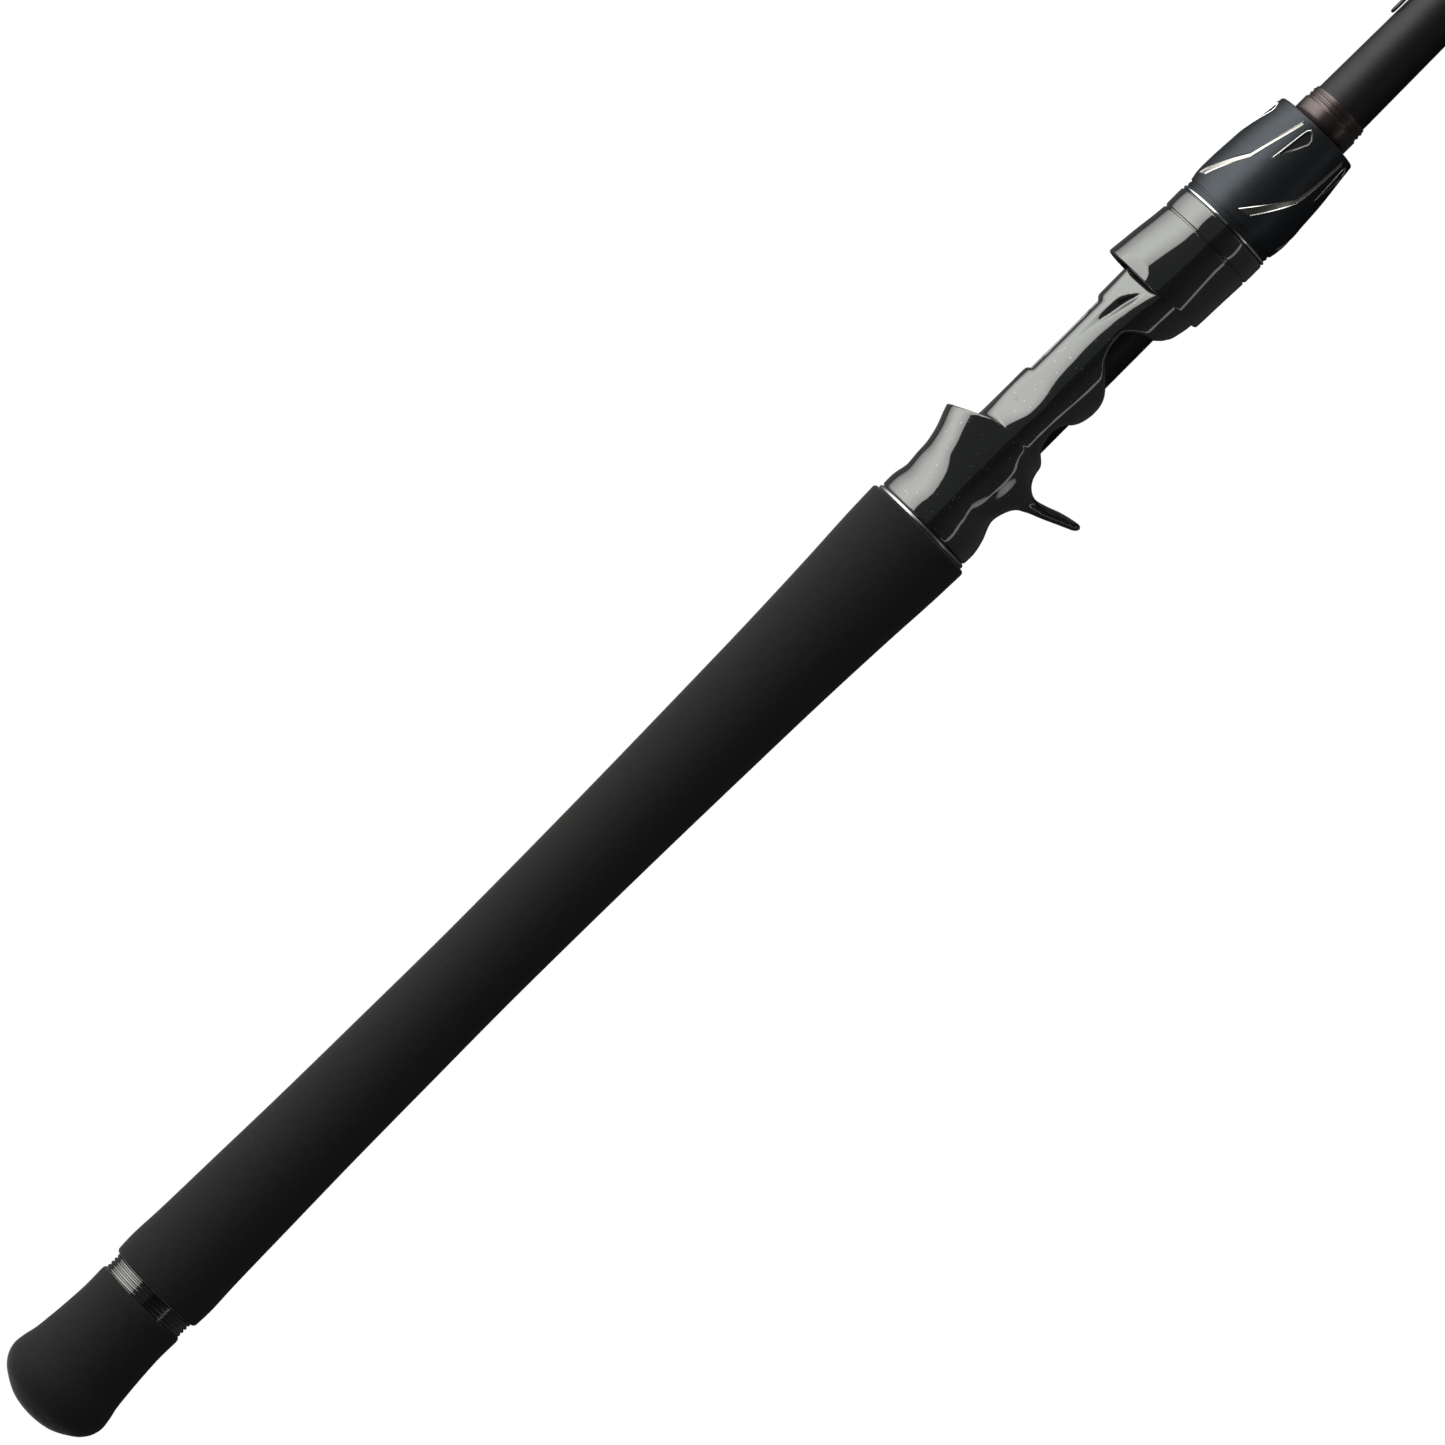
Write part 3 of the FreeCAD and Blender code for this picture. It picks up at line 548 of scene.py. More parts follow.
# reel seat
seatShape = {
    "body": [  # station, top, bottom, half width
        (0, 13.75, 13.6, 13.65), (3.6, 13.7, 13.65, 13.6), (7.5, 13.0, 12.8, 12.7),
        (11.3, 12.8, 11.3, 11.9), (15, 12.5, 10.7, 11.8), (20, 12.2, 10.9, 11.95), (26, 11.9, 10.7, 12.0),
        (31, 11.6, 10.1, 11.6), (40, 11.2, 9.9, 10.8), (50, 11.0, 10.6, 10.5), (60, 11.0, 10.4, 10.1),
        (68, 11.2, 10.8, 10.6), (74, 11.4, 11.2, 11.2), (79, 11.55, 11.55, 11.55),
        (104, 11.6, 11.6, 11.6),
    ],
    "hoodTop": [(8, 12.5), (11.3, 13.15), (15, 13.5), (19, 14.4), (23, 15.9), (27, 17.2), (31, 18.3)],
    "hoodShoulder": [(8, 2.0), (12, 2.2), (16, 2.8), (20, 3.0), (31, 3.1)],
    "crease": [  # where the flank turns down, station and height
        (27, 9.6), (30, 6.4), (32, 3.9), (34, 2.5), (36, 1.6), (39, 1.2), (42, 1.6), (46, 2.8), (50, 3.5),
        (54, 3.9), (58, 4.0), (62, 3.8), (66, 3.2), (70, 2.3), (74, 1.2), (78, -0.2), (80, -1.0),
    ],
    "flankTilt": 58.0,
    "hoodHalf": [(8, 12.0), (11.3, 11.7), (15, 11.6), (19, 11.75), (23, 11.85), (27, 11.85), (31, 11.6)],
    "underside": [
        (26, -22.0), (28, -15.0), (29, -12.5), (30.6, -9.4), (32, -7.4), (34.4, -6.2), (38.2, -5.9),
        (40.5, -6.8), (42.3, -8.4), (45.5, -9.9), (49, -10.1), (52, -9.0), (55.4, -5.7), (57.8, -3.0),
        (60.5, -1.5), (63.5, -0.9), (66.6, -1.3), (68.6, -3.8), (70.2, -7.4), (72.8, -9.9), (76.6, -11.5),
        (80.5, -13.5), (84, -18.0),
    ],
    "triggerRear": [
        (-28.5, 25.4), (-23.6, 23.2), (-19.2, 21.2), (-15.3, 19.5), (-12.4, 17.4), (-10.8, 14.6), (-6, 13),
    ],
    "triggerFront": [
        (-28.5, 26.9), (-25, 26.35), (-21.2, 25.4), (-17.4, 24.0), (-14.5, 23.3), (-11.6, 24.3), (-6, 26),
    ],
    "triggerHalf": [(-28.5, 3.4), (-22, 4.2), (-17, 4.8), (-14, 5.8), (-11.5, 7.4), (-9, 8.8), (-6, 9.6)],
    "scoopTop": [(56, 6.1), (62, 6.6), (68, 6.2), (72, 5.6), (74.2, 4.2), (76, 2.6)],
    "scoopFoot": [(56, 6.0), (62, 5.2), (68.5, 3.6), (72.5, 2.7), (76, 2.5)],
    "scoopSlope": [(57, 0.1), (63, 0.2), (70, 0.6), (76, 0.7)],
    "bed": 9.4,
    "bedStart": 21,
    "hoodStart": 8.5,
    "flankSpan": (30.5, 81),
    "triggerTip": -27.6,
    "pocketSpan": (13.5, 40),
    "scoopEnd": 76,
    "scoopDepth": 0.85,
    "pin": (36.6, 5.5, 0.4, 0.9, 0.25),  # station, height, two radii, depth
    "relief": (44.9, 68.0, 1.0),
    "slot": (52.5, 61.4, 4.6),
    "mouthTop": (24.7, 16.5),
    "mouthFoot": (29.3, 7.0),
    "pocketTop": [(13.5, 12.4), (23, 14.9), (31, 17.4)],
    "pocketHalf": [(13.5, 10.2), (23, 10.9), (31, 11.3)],
    "bore": 8.3,
    "barrelEnd": 103.5,
    "threadEnd": 133.7,
    "root": 9.1,
    "crest": 9.7,
    "pitch": 2.5,
}


def tableCurve(rows, column=1):
    return curveThrough([r[0] for r in rows], [r[column] for r in rows])


def makeSeatField(shape):
    top, low, half = (tableCurve(shape["body"], n) for n in (1, 2, 3))
    hoodTop, hoodHalf, shoulder = (tableCurve(shape[k]) for k in ("hoodTop", "hoodHalf", "hoodShoulder"))
    under, crease = tableCurve(shape["underside"]), tableCurve(shape["crease"])
    rear, front, wide = (tableCurve(shape[k]) for k in ("triggerRear", "triggerFront", "triggerHalf"))
    pocketTop, pocketHalf = tableCurve(shape["pocketTop"]), tableCurve(shape["pocketHalf"])
    (mx, mz), (nx, nz) = shape["mouthTop"], shape["mouthFoot"]
    run = math.hypot(nx - mx, mz - nz)
    scoopTop, scoopFoot, scoopSlope = (tableCurve(shape[k]) for k in ("scoopTop", "scoopFoot", "scoopSlope"))
    bed = shape["bed"]
    reliefStart, reliefEnd, reliefDepth = shape["relief"]
    slotStart, slotEnd, slotHalf = shape["slot"]
    flankStart, flankEnd = shape["flankSpan"]
    pocketStart, pocketEnd = shape["pocketSpan"]
    pinX, pinZ, pinLong, pinTall, pinDepth = shape["pin"]
    tilt = math.radians(shape["flankTilt"])

    def field(x, y, z):
        s = x - seatRear
        body = ovalField(y, z, top(s), low(s), half(s))
        body = softMax(body, np.minimum(z - bed, s - shape["bedStart"]), 2.4)
        turn = crease(s)
        edge = half(s) * np.sqrt(np.maximum(1 - (turn / top(s)) ** 2, 0.05))
        flank = (np.abs(y) - edge) * math.sin(tilt) + (z - turn) * math.cos(tilt)
        flank = flank - 1.5 * np.maximum(flankStart - s, 0) - 2.0 * np.maximum(s - flankEnd, 0)
        body = softMax(body, flank, 0.8)
        hood = ovalField(y, z, hoodTop(s), 7.0, hoodHalf(s), shoulder(s))
        mouth = ((s - mx) * (mz - nz) + (z - mz) * (nx - mx)) / run
        hood = softMax(softMax(hood, mouth, 0.4), shape["hoodStart"] - s, 1.0)
        hood = softMax(hood, s - nx - 0.2, 0.5)
        shell = softMin(body, hood, 1.2)
        slope = (under(s + 0.1) - under(s - 0.1)) / 0.2
        shell = softMax(shell, (under(s) - z) / np.sqrt(1 + slope**2), 1.0)
        blade = np.maximum(rear(z) - s, s - front(z)) * 0.85
        blade = softMax(blade, np.abs(y) - wide(z) + 0.02 * (s - shape["bedStart"]) ** 2, 2.6)
        blade = softMax(blade, shape["triggerTip"] - z, 1.6)
        blade = softMax(blade, z + 6.5, 0.5)
        shell = softMin(shell, blade, 3.4)
        shell = softMax(
            shell, np.minimum(np.minimum(z - bed + reliefDepth, s - reliefStart), reliefEnd - s), 1.5,
        )
        along = np.clip(s, slotStart, slotEnd)
        slot = slotHalf - np.hypot(s - along, y)
        shell = softMax(shell, np.minimum(slot, z), 0.5)
        pocket = -ovalField(y, z, pocketTop(s), 8.0, pocketHalf(s))
        pocket = np.minimum(np.minimum(pocket, z - bed), np.minimum(s - pocketStart, pocketEnd - s))
        shell = softMax(shell, pocket, 0.3)
        scoop = np.minimum((scoopTop(s) - z) * scoopSlope(s), (z - scoopFoot(s)) * 1.4)
        shell = shell + shape["scoopDepth"] * np.clip(np.minimum(scoop, (shape["scoopEnd"] - s) * 0.5), 0, 2)
        pin = np.hypot((s - pinX) / pinLong, (z - pinZ) / pinTall)
        shell = shell + pinDepth * np.clip(1 - pin, 0, 1)
        shell = softMax(shell, shape["bore"] - np.hypot(y, z), 0.3)
        return softMax(softMax(shell, 0.05 - s, 0.7), s - shape["barrelEnd"], 0.3)

    return field


seatField = makeSeatField(seatShape)
seatPiece = netPiece(
    "reelSeat",
    seatField,
    (seatRear - 0.7, -14.6, -28.9),
    (seatRear + 104.3, 14.6, 17.6),
    0.46,
    [seatMaterial],
)


def makeSeatThread(shape):
    # the threaded front barrel, wound as one ridge
    turns, per = int((shape["threadEnd"] - shape["barrelEnd"] - 3) / shape["pitch"]), 64
    start = seatRear + shape["barrelEnd"]
    low, high = start - 0.2, start + shape["threadEnd"] - shape["barrelEnd"]
    tube = [(low, shape["bore"]), (low, shape["root"]), (high, shape["root"]), (high, shape["bore"])]
    core = turnedPiece("seatBarrelCore", tube, seatMaterial, 96)
    foot = shape["root"] - 0.1
    points, faces = [], []
    for n in range(turns * per + 1):
        a = 2 * math.pi * n / per
        x = start + 1.5 + shape["pitch"] * n / per
        for dx, r in ((-0.6, foot), (-0.3, shape["crest"]), (0.3, shape["crest"]), (0.6, foot)):
            points.append((x + dx, -r * math.sin(a), r * math.cos(a)))
    for n in range(turns * per):
        for m in range(4):
            k = (m + 1) % 4
            faces.append((4 * n + m, 4 * n + k, 4 * n + 4 + k, 4 * n + 4 + m))
    last = 4 * turns * per
    faces += [(3, 2, 1, 0), (last, last + 1, last + 2, last + 3)]
    ridge = addPiece("seatThread", points, faces, [seatMaterial], sharp=30)
    return core, ridge


def joinInto(target, *others):
    with bpy.context.temp_override(active_object=target, selected_editable_objects=[target, *others]):
        bpy.ops.object.join()
    return target


joinInto(seatPiece, *makeSeatThread(seatShape))
standFor(seatPiece, "rod", "seat", "seat_body")
print("stage: reel seat made")


# sliding hood, collar and lock nut
hoodShape = {
    "top": [(76, 15.25), (78, 15.1), (82, 14.7), (87, 14.2), (91, 13.7), (95.2, 13.3)],
    "low": [(78, 12.6), (82, 12.8), (88, 13.0), (95.2, 13.3)],
    "half": [(78, 13.0), (82, 13.1), (88, 13.25), (95.2, 13.3)],
    "shoulder": [(78, 2.3), (84, 2.15), (92, 2.0)],
    "roof": [(78, 14.2), (93.6, 12.6)],
    "wall": 0.75,
    "bore": 11.8,
    "end": 95.2,
    "web": 93.6,
    "dent": (78.4, 8.3, 3.0, 3.8, 0.6),  # station, height, two radii, depth
}


def makeHoodField(shape):
    top, low, half, shoulder, roof = (
        tableCurve(shape[k]) for k in ("top", "low", "half", "shoulder", "roof")
    )
    dentX, dentZ, dentLong, dentTall, dentDepth = shape["dent"]

    def field(x, y, z):
        s = x - seatRear
        reach = np.hypot(y, z)
        outer = ovalField(y, z, top(s), low(s), half(s), shoulder(s))
        dent = dentDepth * np.clip(1 - ((s - dentX) / dentLong) ** 2 - ((z - dentZ) / dentTall) ** 2, 0, 1)
        shell = outer + dent
        lean = np.where(z < 2, (2 - z) * 0.109, 0)
        shell = softMax(shell, 78.02 + lean - s, 0.55)
        shell = softMax(shell, s - shape["end"] + 0.02, 0.35)
        hollow = -softMax(ovalField(y, z, roof(s), 12.05, 12.05), outer + dent + shape["wall"], 0.4)
        hollow = np.minimum(hollow, shape["web"] - s)
        key = np.minimum(shape["bore"] - reach, 9.6 - z)
        return softMax(softMax(shell, hollow, 0.3), key, 0.2)

    return field


hoodPiece = netPiece(
    "slidingHood",
    makeHoodField(hoodShape),
    (seatRear + 77.3, -14.2, -14.2),
    (seatRear + 95.9, 14.2, 15.9),
    0.34,
    [hoodMaterial],
)
standFor(hoodPiece, "hood", "seat_gloss", "sliding_hood")


collarShape = {
    "start": 95.2,
    "end": 101.3,
    "rear": [(0, 11.8), (0, 12.95), (0.35, 12.95), (0.45, 13.2), (0.75, 13.38), (3.0, 13.4)],
    "front": [(-0.5, 13.4), (-0.2, 13.25), (0, 13.0), (-2.0, 13.0), (-2.0, 11.8)],
}


def makeCollar(shape):
    outline = ringOutline(seatRear + shape["start"], seatRear + shape["end"], shape)
    return turnedPiece("hoodCollar", outline, hoodMaterial, 160, 40)


standFor(makeCollar(collarShape), "hood", "seat_gloss", "hood_collar")

nutRingShape = {
    "start": 99.5,
    "step": 101.5,  # the bright ring starts here
    "rear": [(0, 11.8), (0, 12.85)],
    "front": [
        (0, 12.85), (0, 13.1), (0.12, 13.28), (0.34, 13.35), (0.56, 13.28), (0.68, 13.1), (0.75, 12.9),
        (1.2, 12.9), (1.35, 13.05), (1.9, 13.1), (2.05, 12.9), (2.7, 12.9), (2.7, 11.8),
    ],
    "brightWidth": 0.7,
    "brightRadius": 12.95,
}


def makeNutRing(shape):
    step = seatRear + shape["step"]
    ring = turnedPiece(
        "nutBrightRing", ringOutline(seatRear + shape["start"], step, shape), nutMaterial, 160, 40,
    )
    ring.data.materials.append(chromeMaterial)
    low, high = step * 0.001 - 1e-6, (step + shape["brightWidth"]) * 0.001
    for face in ring.data.polygons:
        if low < face.center.x < high and math.hypot(*face.center.yz) > shape["brightRadius"] * 0.001:
            face.material_index = 1
    return ring


standFor(makeNutRing(nutRingShape), "nut", "chrome", "nut_ring")

nutShape = {
    "line": [
        (104.2, 13.3), (105.6, 13.6), (111, 13.75), (116.9, 13.45), (120.8, 13.2), (124.6, 12.8),
        (128.4, 12.3), (132.3, 11.85), (133.1, 11.75),
    ],
    "lobes": 5,
    "arc": 13.2,
    "start": 104.2,
    "end": 133.1,
    "shear": [(104.2, 2.0), (106.6, 4.0), (116.8, 40.0), (120.6, 50.0), (133.1, 58.0)],
    # outlines on the skin: station, degrees from the top towards the trigger hand's side
    "facet": [(106.2, 13.0), (106.9, 27.5), (117.0, 55.6), (131.6, 70.4), (132.4, 66.6), (117.9, 50.6)],
    "window": [
        (120.4, 72.2), (129.9, 76.4), (131.2, 77.6), (132.0, 80.5), (131.6, 85.0), (130.2, 90.6),
        (128.9, 91.2),
    ],
    "rim": 0.3,
    "facetDepth": 0.1,
    "bead": 0.1,
    "windowDepth": 0.6,
    "nose": [  # rounded nose, end face and bore
        (133.35, 11.62), (133.55, 11.35), (133.62, 11.05), (133.3, 10.8), (133.3, 10.1), (132.5, 10.1),
        (132.5, 10.8), (116.5, 10.8), (116.5, 11.8),
    ],
    "bore": 11.8,
}


def shrinkOutline(corners, amount):
    # every side moved inwards by the same amount
    area = sum(a[0] * b[1] - b[0] * a[1] for a, b in zip(corners, corners[1:] + corners[:1]))
    sign = 1 if area > 0 else -1
    lines = []
    for a, b in zip(corners, corners[1:] + corners[:1]):
        length = math.dist(a, b)
        nx, ny = -(b[1] - a[1]) / length * sign, (b[0] - a[0]) / length * sign
        lines.append((nx, ny, nx * a[0] + ny * a[1] + amount))
    made = []
    for (a, b, c), (d, e, f) in zip(lines[-1:] + lines[:-1], lines):
        det = a * e - b * d
        made.append(((c * e - b * f) / det, (a * f - c * d) / det))
    return made


def splitOutline(corners, step=0.6):
    made = []
    for a, b in zip(corners, corners[1:] + corners[:1]):
        count = max(1, round(math.dist(a, b) / step))
        made += [(a[0] + (b[0] - a[0]) * n / count, a[1] + (b[1] - a[1]) * n / count) for n in range(count)]
    return made


def makeNutLobe(shape):
    # one lobe of the skin laid flat: points as (station, arc, depth), and faces with their finish
    arc, turn = shape["arc"], 360 // shape["lobes"]
    shear = [p[0] for p in shape["shear"]], [p[1] for p in shape["shear"]]
    flat = {k: [(s, math.radians(a) * arc) for s, a in shape[k]] for k in ("facet", "window")}
    beads = {k: shrinkOutline(flat[k], shape["rim"] / 2) for k in ("facet", "window")}
    facetIn = shrinkOutline(flat["facet"], shape["rim"])
    windowIn = shrinkOutline(flat["window"], shape["rim"])
    windowFloor = shrinkOutline(flat["window"], shape["rim"] + 0.15)
    points, depths, edges = [], [], []

    def addLine(line, depth):
        first, count = len(points), len(line)
        points.extend(line)
        depths.extend([depth] * count)
        edges.extend((first + n, first + (n + 1) % count) for n in range(count))

    rows = 40
    stations = [shape["start"] + (shape["end"] - shape["start"]) * n / rows for n in range(rows + 1)]
    left = [(s, math.radians(float(np.interp(s, *shear))) * arc) for s in stations]
    step = math.radians(2) * arc
    wall = [(p[0], p[1] + step * (turn // 2)) for p in left]
    border = left + [(left[-1][0], left[-1][1] + step * n) for n in range(1, turn // 2)] + wall[::-1]
    border += [(left[0][0], left[0][1] + step * n) for n in range(turn // 2 - 1, 0, -1)]
    addLine(border, 0)
    addLine(splitOutline(flat["facet"]), 0)
    addLine(splitOutline(beads["facet"]), -shape["bead"])
    addLine(splitOutline(facetIn), shape["facetDepth"])
    addLine(splitOutline(flat["window"]), 0)
    addLine(splitOutline(beads["window"]), -shape["bead"])
    addLine(splitOutline(windowIn), 0.12)
    addLine(splitOutline(windowFloor), shape["windowDepth"])
    fixed = np.array(points)
    for s in np.arange(shape["start"] + 0.7, shape["end"] - 0.4, 0.75):
        base = math.radians(float(np.interp(s, *shear))) * arc
        for n in range(1, 22):
            p = (float(s), base + step * (turn // 2) * n / 22)
            if np.min(np.hypot(*(fixed - p).T)) < 0.36:
                continue
            points.append(p)
            if polygonField(*map(np.array, p), facetIn) < 0:
                depths.append(shape["facetDepth"])
            elif polygonField(*map(np.array, p), windowFloor) < 0:
                depths.append(shape["windowDepth"])
            else:
                depths.append(0)
    made = delaunay_2d_cdt([Vector(p) for p in points], edges, [], 1, 1e-5, True)
    verts, faces, origins = made[0], made[2], made[3]
    depth = [depths[o[0]] if o else 0 for o in origins]
    middles = np.array([np.mean([verts[n] for n in face], 0) for face in faces])
    inside = polygonField(*middles.T, np.float32(border).astype(float)) < 0
    faces = [list(face)[::-1] for face, kept in zip(faces, inside) if kept]
    u, v = middles[inside].T
    inFacet, inWindow = polygonField(u, v, flat["facet"]), polygonField(u, v, flat["window"])
    finish = np.zeros(len(faces), int)
    finish[inFacet < 0] = 2
    finish[polygonField(u, v, facetIn) < 0] = 1
    finish[inWindow < 0] = 2
    finish[polygonField(u, v, windowIn) < 0] = 3
    return [(p[0], p[1], d) for p, d in zip(verts, depth)], faces, finish


def makeNut(shape):
    line = tableCurve(shape["line"])
    flat, flatFaces, finish = makeNutLobe(shape)
    flat = np.array(flat)
    radius = line(flat[:, 0]) - flat[:, 2]
    points, faces, finishes = [], [], []
    for lobe in range(shape["lobes"]):
        angle = flat[:, 1] / shape["arc"] + math.radians(360 / shape["lobes"] * lobe)
        first = len(points)
        points += list(zip(seatRear + flat[:, 0], -radius * np.sin(angle), radius * np.cos(angle)))
        faces += [[first + n for n in face] for face in flatFaces]
        finishes += list(finish)
    # rounded nose, end face, bore and rear face, ring by ring
    ends = shape["start"], shape["end"]
    nose = [(ends[1], float(line(ends[1]))), *shape["nose"]]
    nose += [(ends[0], shape["bore"]), (ends[0], float(line(ends[0])))]
    first = len(points)
    for s, r in nose:
        for n in range(180):
            a = math.radians(2 * n)
            points.append((seatRear + s, -r * math.sin(a), r * math.cos(a)))
    for i in range(len(nose) - 1):
        for n in range(180):
            a, b = first + 180 * i + n, first + 180 * i + (n + 1) % 180
            faces.append([a, b, b + 180, a + 180])
            finishes.append(2 if i in (1, 3) else 0)
    piece = addPiece(
        "lockNut", points, faces, [nutMaterial, facetMaterial, brightEdge, hoodMaterial], finishes,
    )
    shape3d = bmesh.new()
    shape3d.from_mesh(piece.data)
    bmesh.ops.remove_doubles(shape3d, verts=shape3d.verts, dist=2e-6)
    shape3d.to_mesh(piece.data)
    shape3d.free()
    piece.data.set_sharp_from_angle(angle=math.radians(18))
    return piece


standFor(makeNut(nutShape), "nut", "nut", "nut_shell")


checkShape = {
    "start": 134.0,
    "rear": [(0, 7.5), (0, 7.9), (0.3, 8.15), (3.9, 8.15), (4.3, 7.8)],
    "front": [(7.3, 7.75), (7.6, 7.55), (7.6, 7.4)],
    "ribs": (4.9, 6.1),
    "ribWidth": 0.7,
    "ribRoot": 7.75,
    "ribRise": 0.25,
}


def makeCheck(shape):
    start = seatRear + shape["start"]
    outline = [(start + x, r) for x, r in shape["rear"]]
    for rib in shape["ribs"]:
        for n in range(7):
            rise = shape["ribRise"] * math.sin(math.pi * n / 6)
            outline.append((start + rib + shape["ribWidth"] * n / 6, shape["ribRoot"] + rise))
    outline += [(start + x, r) for x, r in shape["front"]]
    return turnedPiece("windingCheck", outline, gunMaterial, 128, 40)


standFor(makeCheck(checkShape), "rod", "trim_gun", "front_check")
print("stage: hood and nut made")


# thread windings, by geometry nodes
def addSocket(tree, label, kind, value):
    socket = tree.interface.new_socket(label, in_out="INPUT", socket_type=kind)
    if value is not None:
        socket.default_value = value
    return socket.identifier


def makeWindingTree():
    # a helix of thread round the X axis, raised over the foot under it
    tree = bpy.data.node_groups.new("threadWinding", "GeometryNodeTree")
    names = {
        "turns": addSocket(tree, "Turns", "NodeSocketFloat", 40.0),
        "startRadius": addSocket(tree, "Start Radius", "NodeSocketFloat", 0.005),
        "endRadius": addSocket(tree, "End Radius", "NodeSocketFloat", 0.005),
        "length": addSocket(tree, "Length", "NodeSocketFloat", 0.012),
        "startX": addSocket(tree, "Start X", "NodeSocketFloat", 0.0),
        "thread": addSocket(tree, "Thread Radius", "NodeSocketFloat", 0.0002),
        "rise": addSocket(tree, "Foot Rise", "NodeSocketFloat", 0.0006),
        "material": addSocket(tree, "Material", "NodeSocketMaterial", None),
    }
    tree.interface.new_socket("Geometry", in_out="OUTPUT", socket_type="NodeSocketGeometry")
    entry, leave = tree.nodes.new("NodeGroupInput"), tree.nodes.new("NodeGroupOutput")
    helix = addNode(tree, "GeometryNodeCurveSpiral", {
        "Resolution": 32,
        "Rotations": entry.outputs["Turns"],
        "Start Radius": entry.outputs["Start Radius"],
        "End Radius": entry.outputs["End Radius"],
        "Height": entry.outputs["Length"],
    })
    place = addNode(tree, "ShaderNodeCombineXYZ", {0: entry.outputs["Start X"]})
    turned = addNode(tree, "GeometryNodeTransform", {
        "Geometry": helix.outputs[0],
        "Translation": place.outputs[0],
        "Rotation": (0, math.pi / 2, 0),
    })
    where = addNode(tree, "GeometryNodeInputPosition")
    split = addNode(tree, "ShaderNodeSeparateXYZ", {0: where.outputs[0]})
    radius = entry.outputs["Start Radius"]
    share = mathNode(tree, "DIVIDE", split.outputs[2], radius)
    limits = {"Value": share, "From Min": 0.86, "From Max": 0.98}
    ramp = addNode(tree, "ShaderNodeMapRange", limits, interpolation_type="SMOOTHSTEP")
    rise = entry.outputs["Foot Rise"]
    lift = mathNode(tree, "MULTIPLY", ramp.outputs[0], rise)
    offset = addNode(tree, "ShaderNodeCombineXYZ", {2: lift})
    moved = {"Geometry": turned.outputs[0], "Offset": offset.outputs[0]}
    raised = addNode(tree, "GeometryNodeSetPosition", moved)
    thread = {"Resolution": 6, "Radius": entry.outputs["Thread Radius"]}
    section = addNode(tree, "GeometryNodeCurvePrimitiveCircle", thread)
    swept = addNode(tree, "GeometryNodeCurveToMesh", {
        "Curve": raised.outputs[0],
        "Profile Curve": section.outputs[0],
        "Fill Caps": True,
    })
    real = addNode(tree, "GeometryNodeRealizeInstances", {0: swept.outputs[0]})
    finish = {"Geometry": real.outputs[0], "Material": entry.outputs["Material"]}
    dressed = addNode(tree, "GeometryNodeSetMaterial", finish)
    tree.links.new(dressed.outputs[0], leave.inputs[0])
    return tree, names


windingTree, windingInputs = makeWindingTree()
windingShape = {"pitch": 0.42, "threadRadius": 0.2, "inset": 0.3, "rise": 0.55}


def blankRadius(x):
    stations = blankShape["stations"] + [tipEnd - seatRear]
    return float(np.interp(x - seatRear, stations, blankShape["radii"] + [blankShape["tipRadius"]]))


def makeWinding(name, start, end):
    holder = linkNew(name + "Maker", bpy.data.meshes.new(name + "Maker"))
    modifier = holder.modifiers.new("winding", "NODES")
    modifier.node_group = windingTree
    thread = windingShape["threadRadius"]
    values = {
        "turns": (end - start) / windingShape["pitch"],
        "startRadius": (blankRadius(start) + thread) / 1000,
        "endRadius": (blankRadius(end) + thread) / 1000,
        "length": (end - start) / 1000,
        "startX": start / 1000,
        "thread": thread * 1.15 / 1000,
        "rise": windingShape["rise"] / 1000,
        "material": threadMaterial,
    }
    for key, value in values.items():
        modifier[windingInputs[key]] = value
    made = holder.evaluated_get(bpy.context.evaluated_depsgraph_get())
    mesh = bpy.data.meshes.new_from_object(made)
    bpy.data.objects.remove(holder)
    mesh.name = name
    mesh.polygons.foreach_set("use_smooth", [True] * len(mesh.polygons))
    return linkNew(name, mesh)


def windingSpans(node):
    # a guide with two feet is bound on both sides of its ring
    low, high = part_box(node)
    if node == "keeper_wrap":
        return [(low[0] * 1000, high[0] * 1000)]
    ringLow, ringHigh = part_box(node.replace("_wraps", "_ring"))
    middle = (ringLow[0] + ringHigh[0]) * 500
    if not low[0] * 1000 < middle < high[0] * 1000:
        return [(low[0] * 1000, high[0] * 1000)]
    mesh = bpy.data.objects[node].data
    places = np.empty(len(mesh.vertices) * 3)
    mesh.vertices.foreach_get("co", places)
    xs = places[0::3] * 1000
    return [(side.min(), side.max()) for side in (xs[xs < middle], xs[xs > middle])]


for node in [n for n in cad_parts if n.endswith("_wraps") or n == "keeper_wrap"]:
    spans = windingSpans(node)
    label = node.replace("_wraps", "Thread").replace("keeper_wrap", "keeperThread")
    inset = windingShape["inset"]
    threads = [makeWinding(label + "AB"[n], a + inset, b - inset) for n, (a, b) in enumerate(spans)]
    for thread in threads:
        standFor(thread, "rod", "thread", node)
print("stage: thread windings made")


# hook keeper
keeperShape = {"half": 2.1, "corner": 0.6, "wire": 0.4}


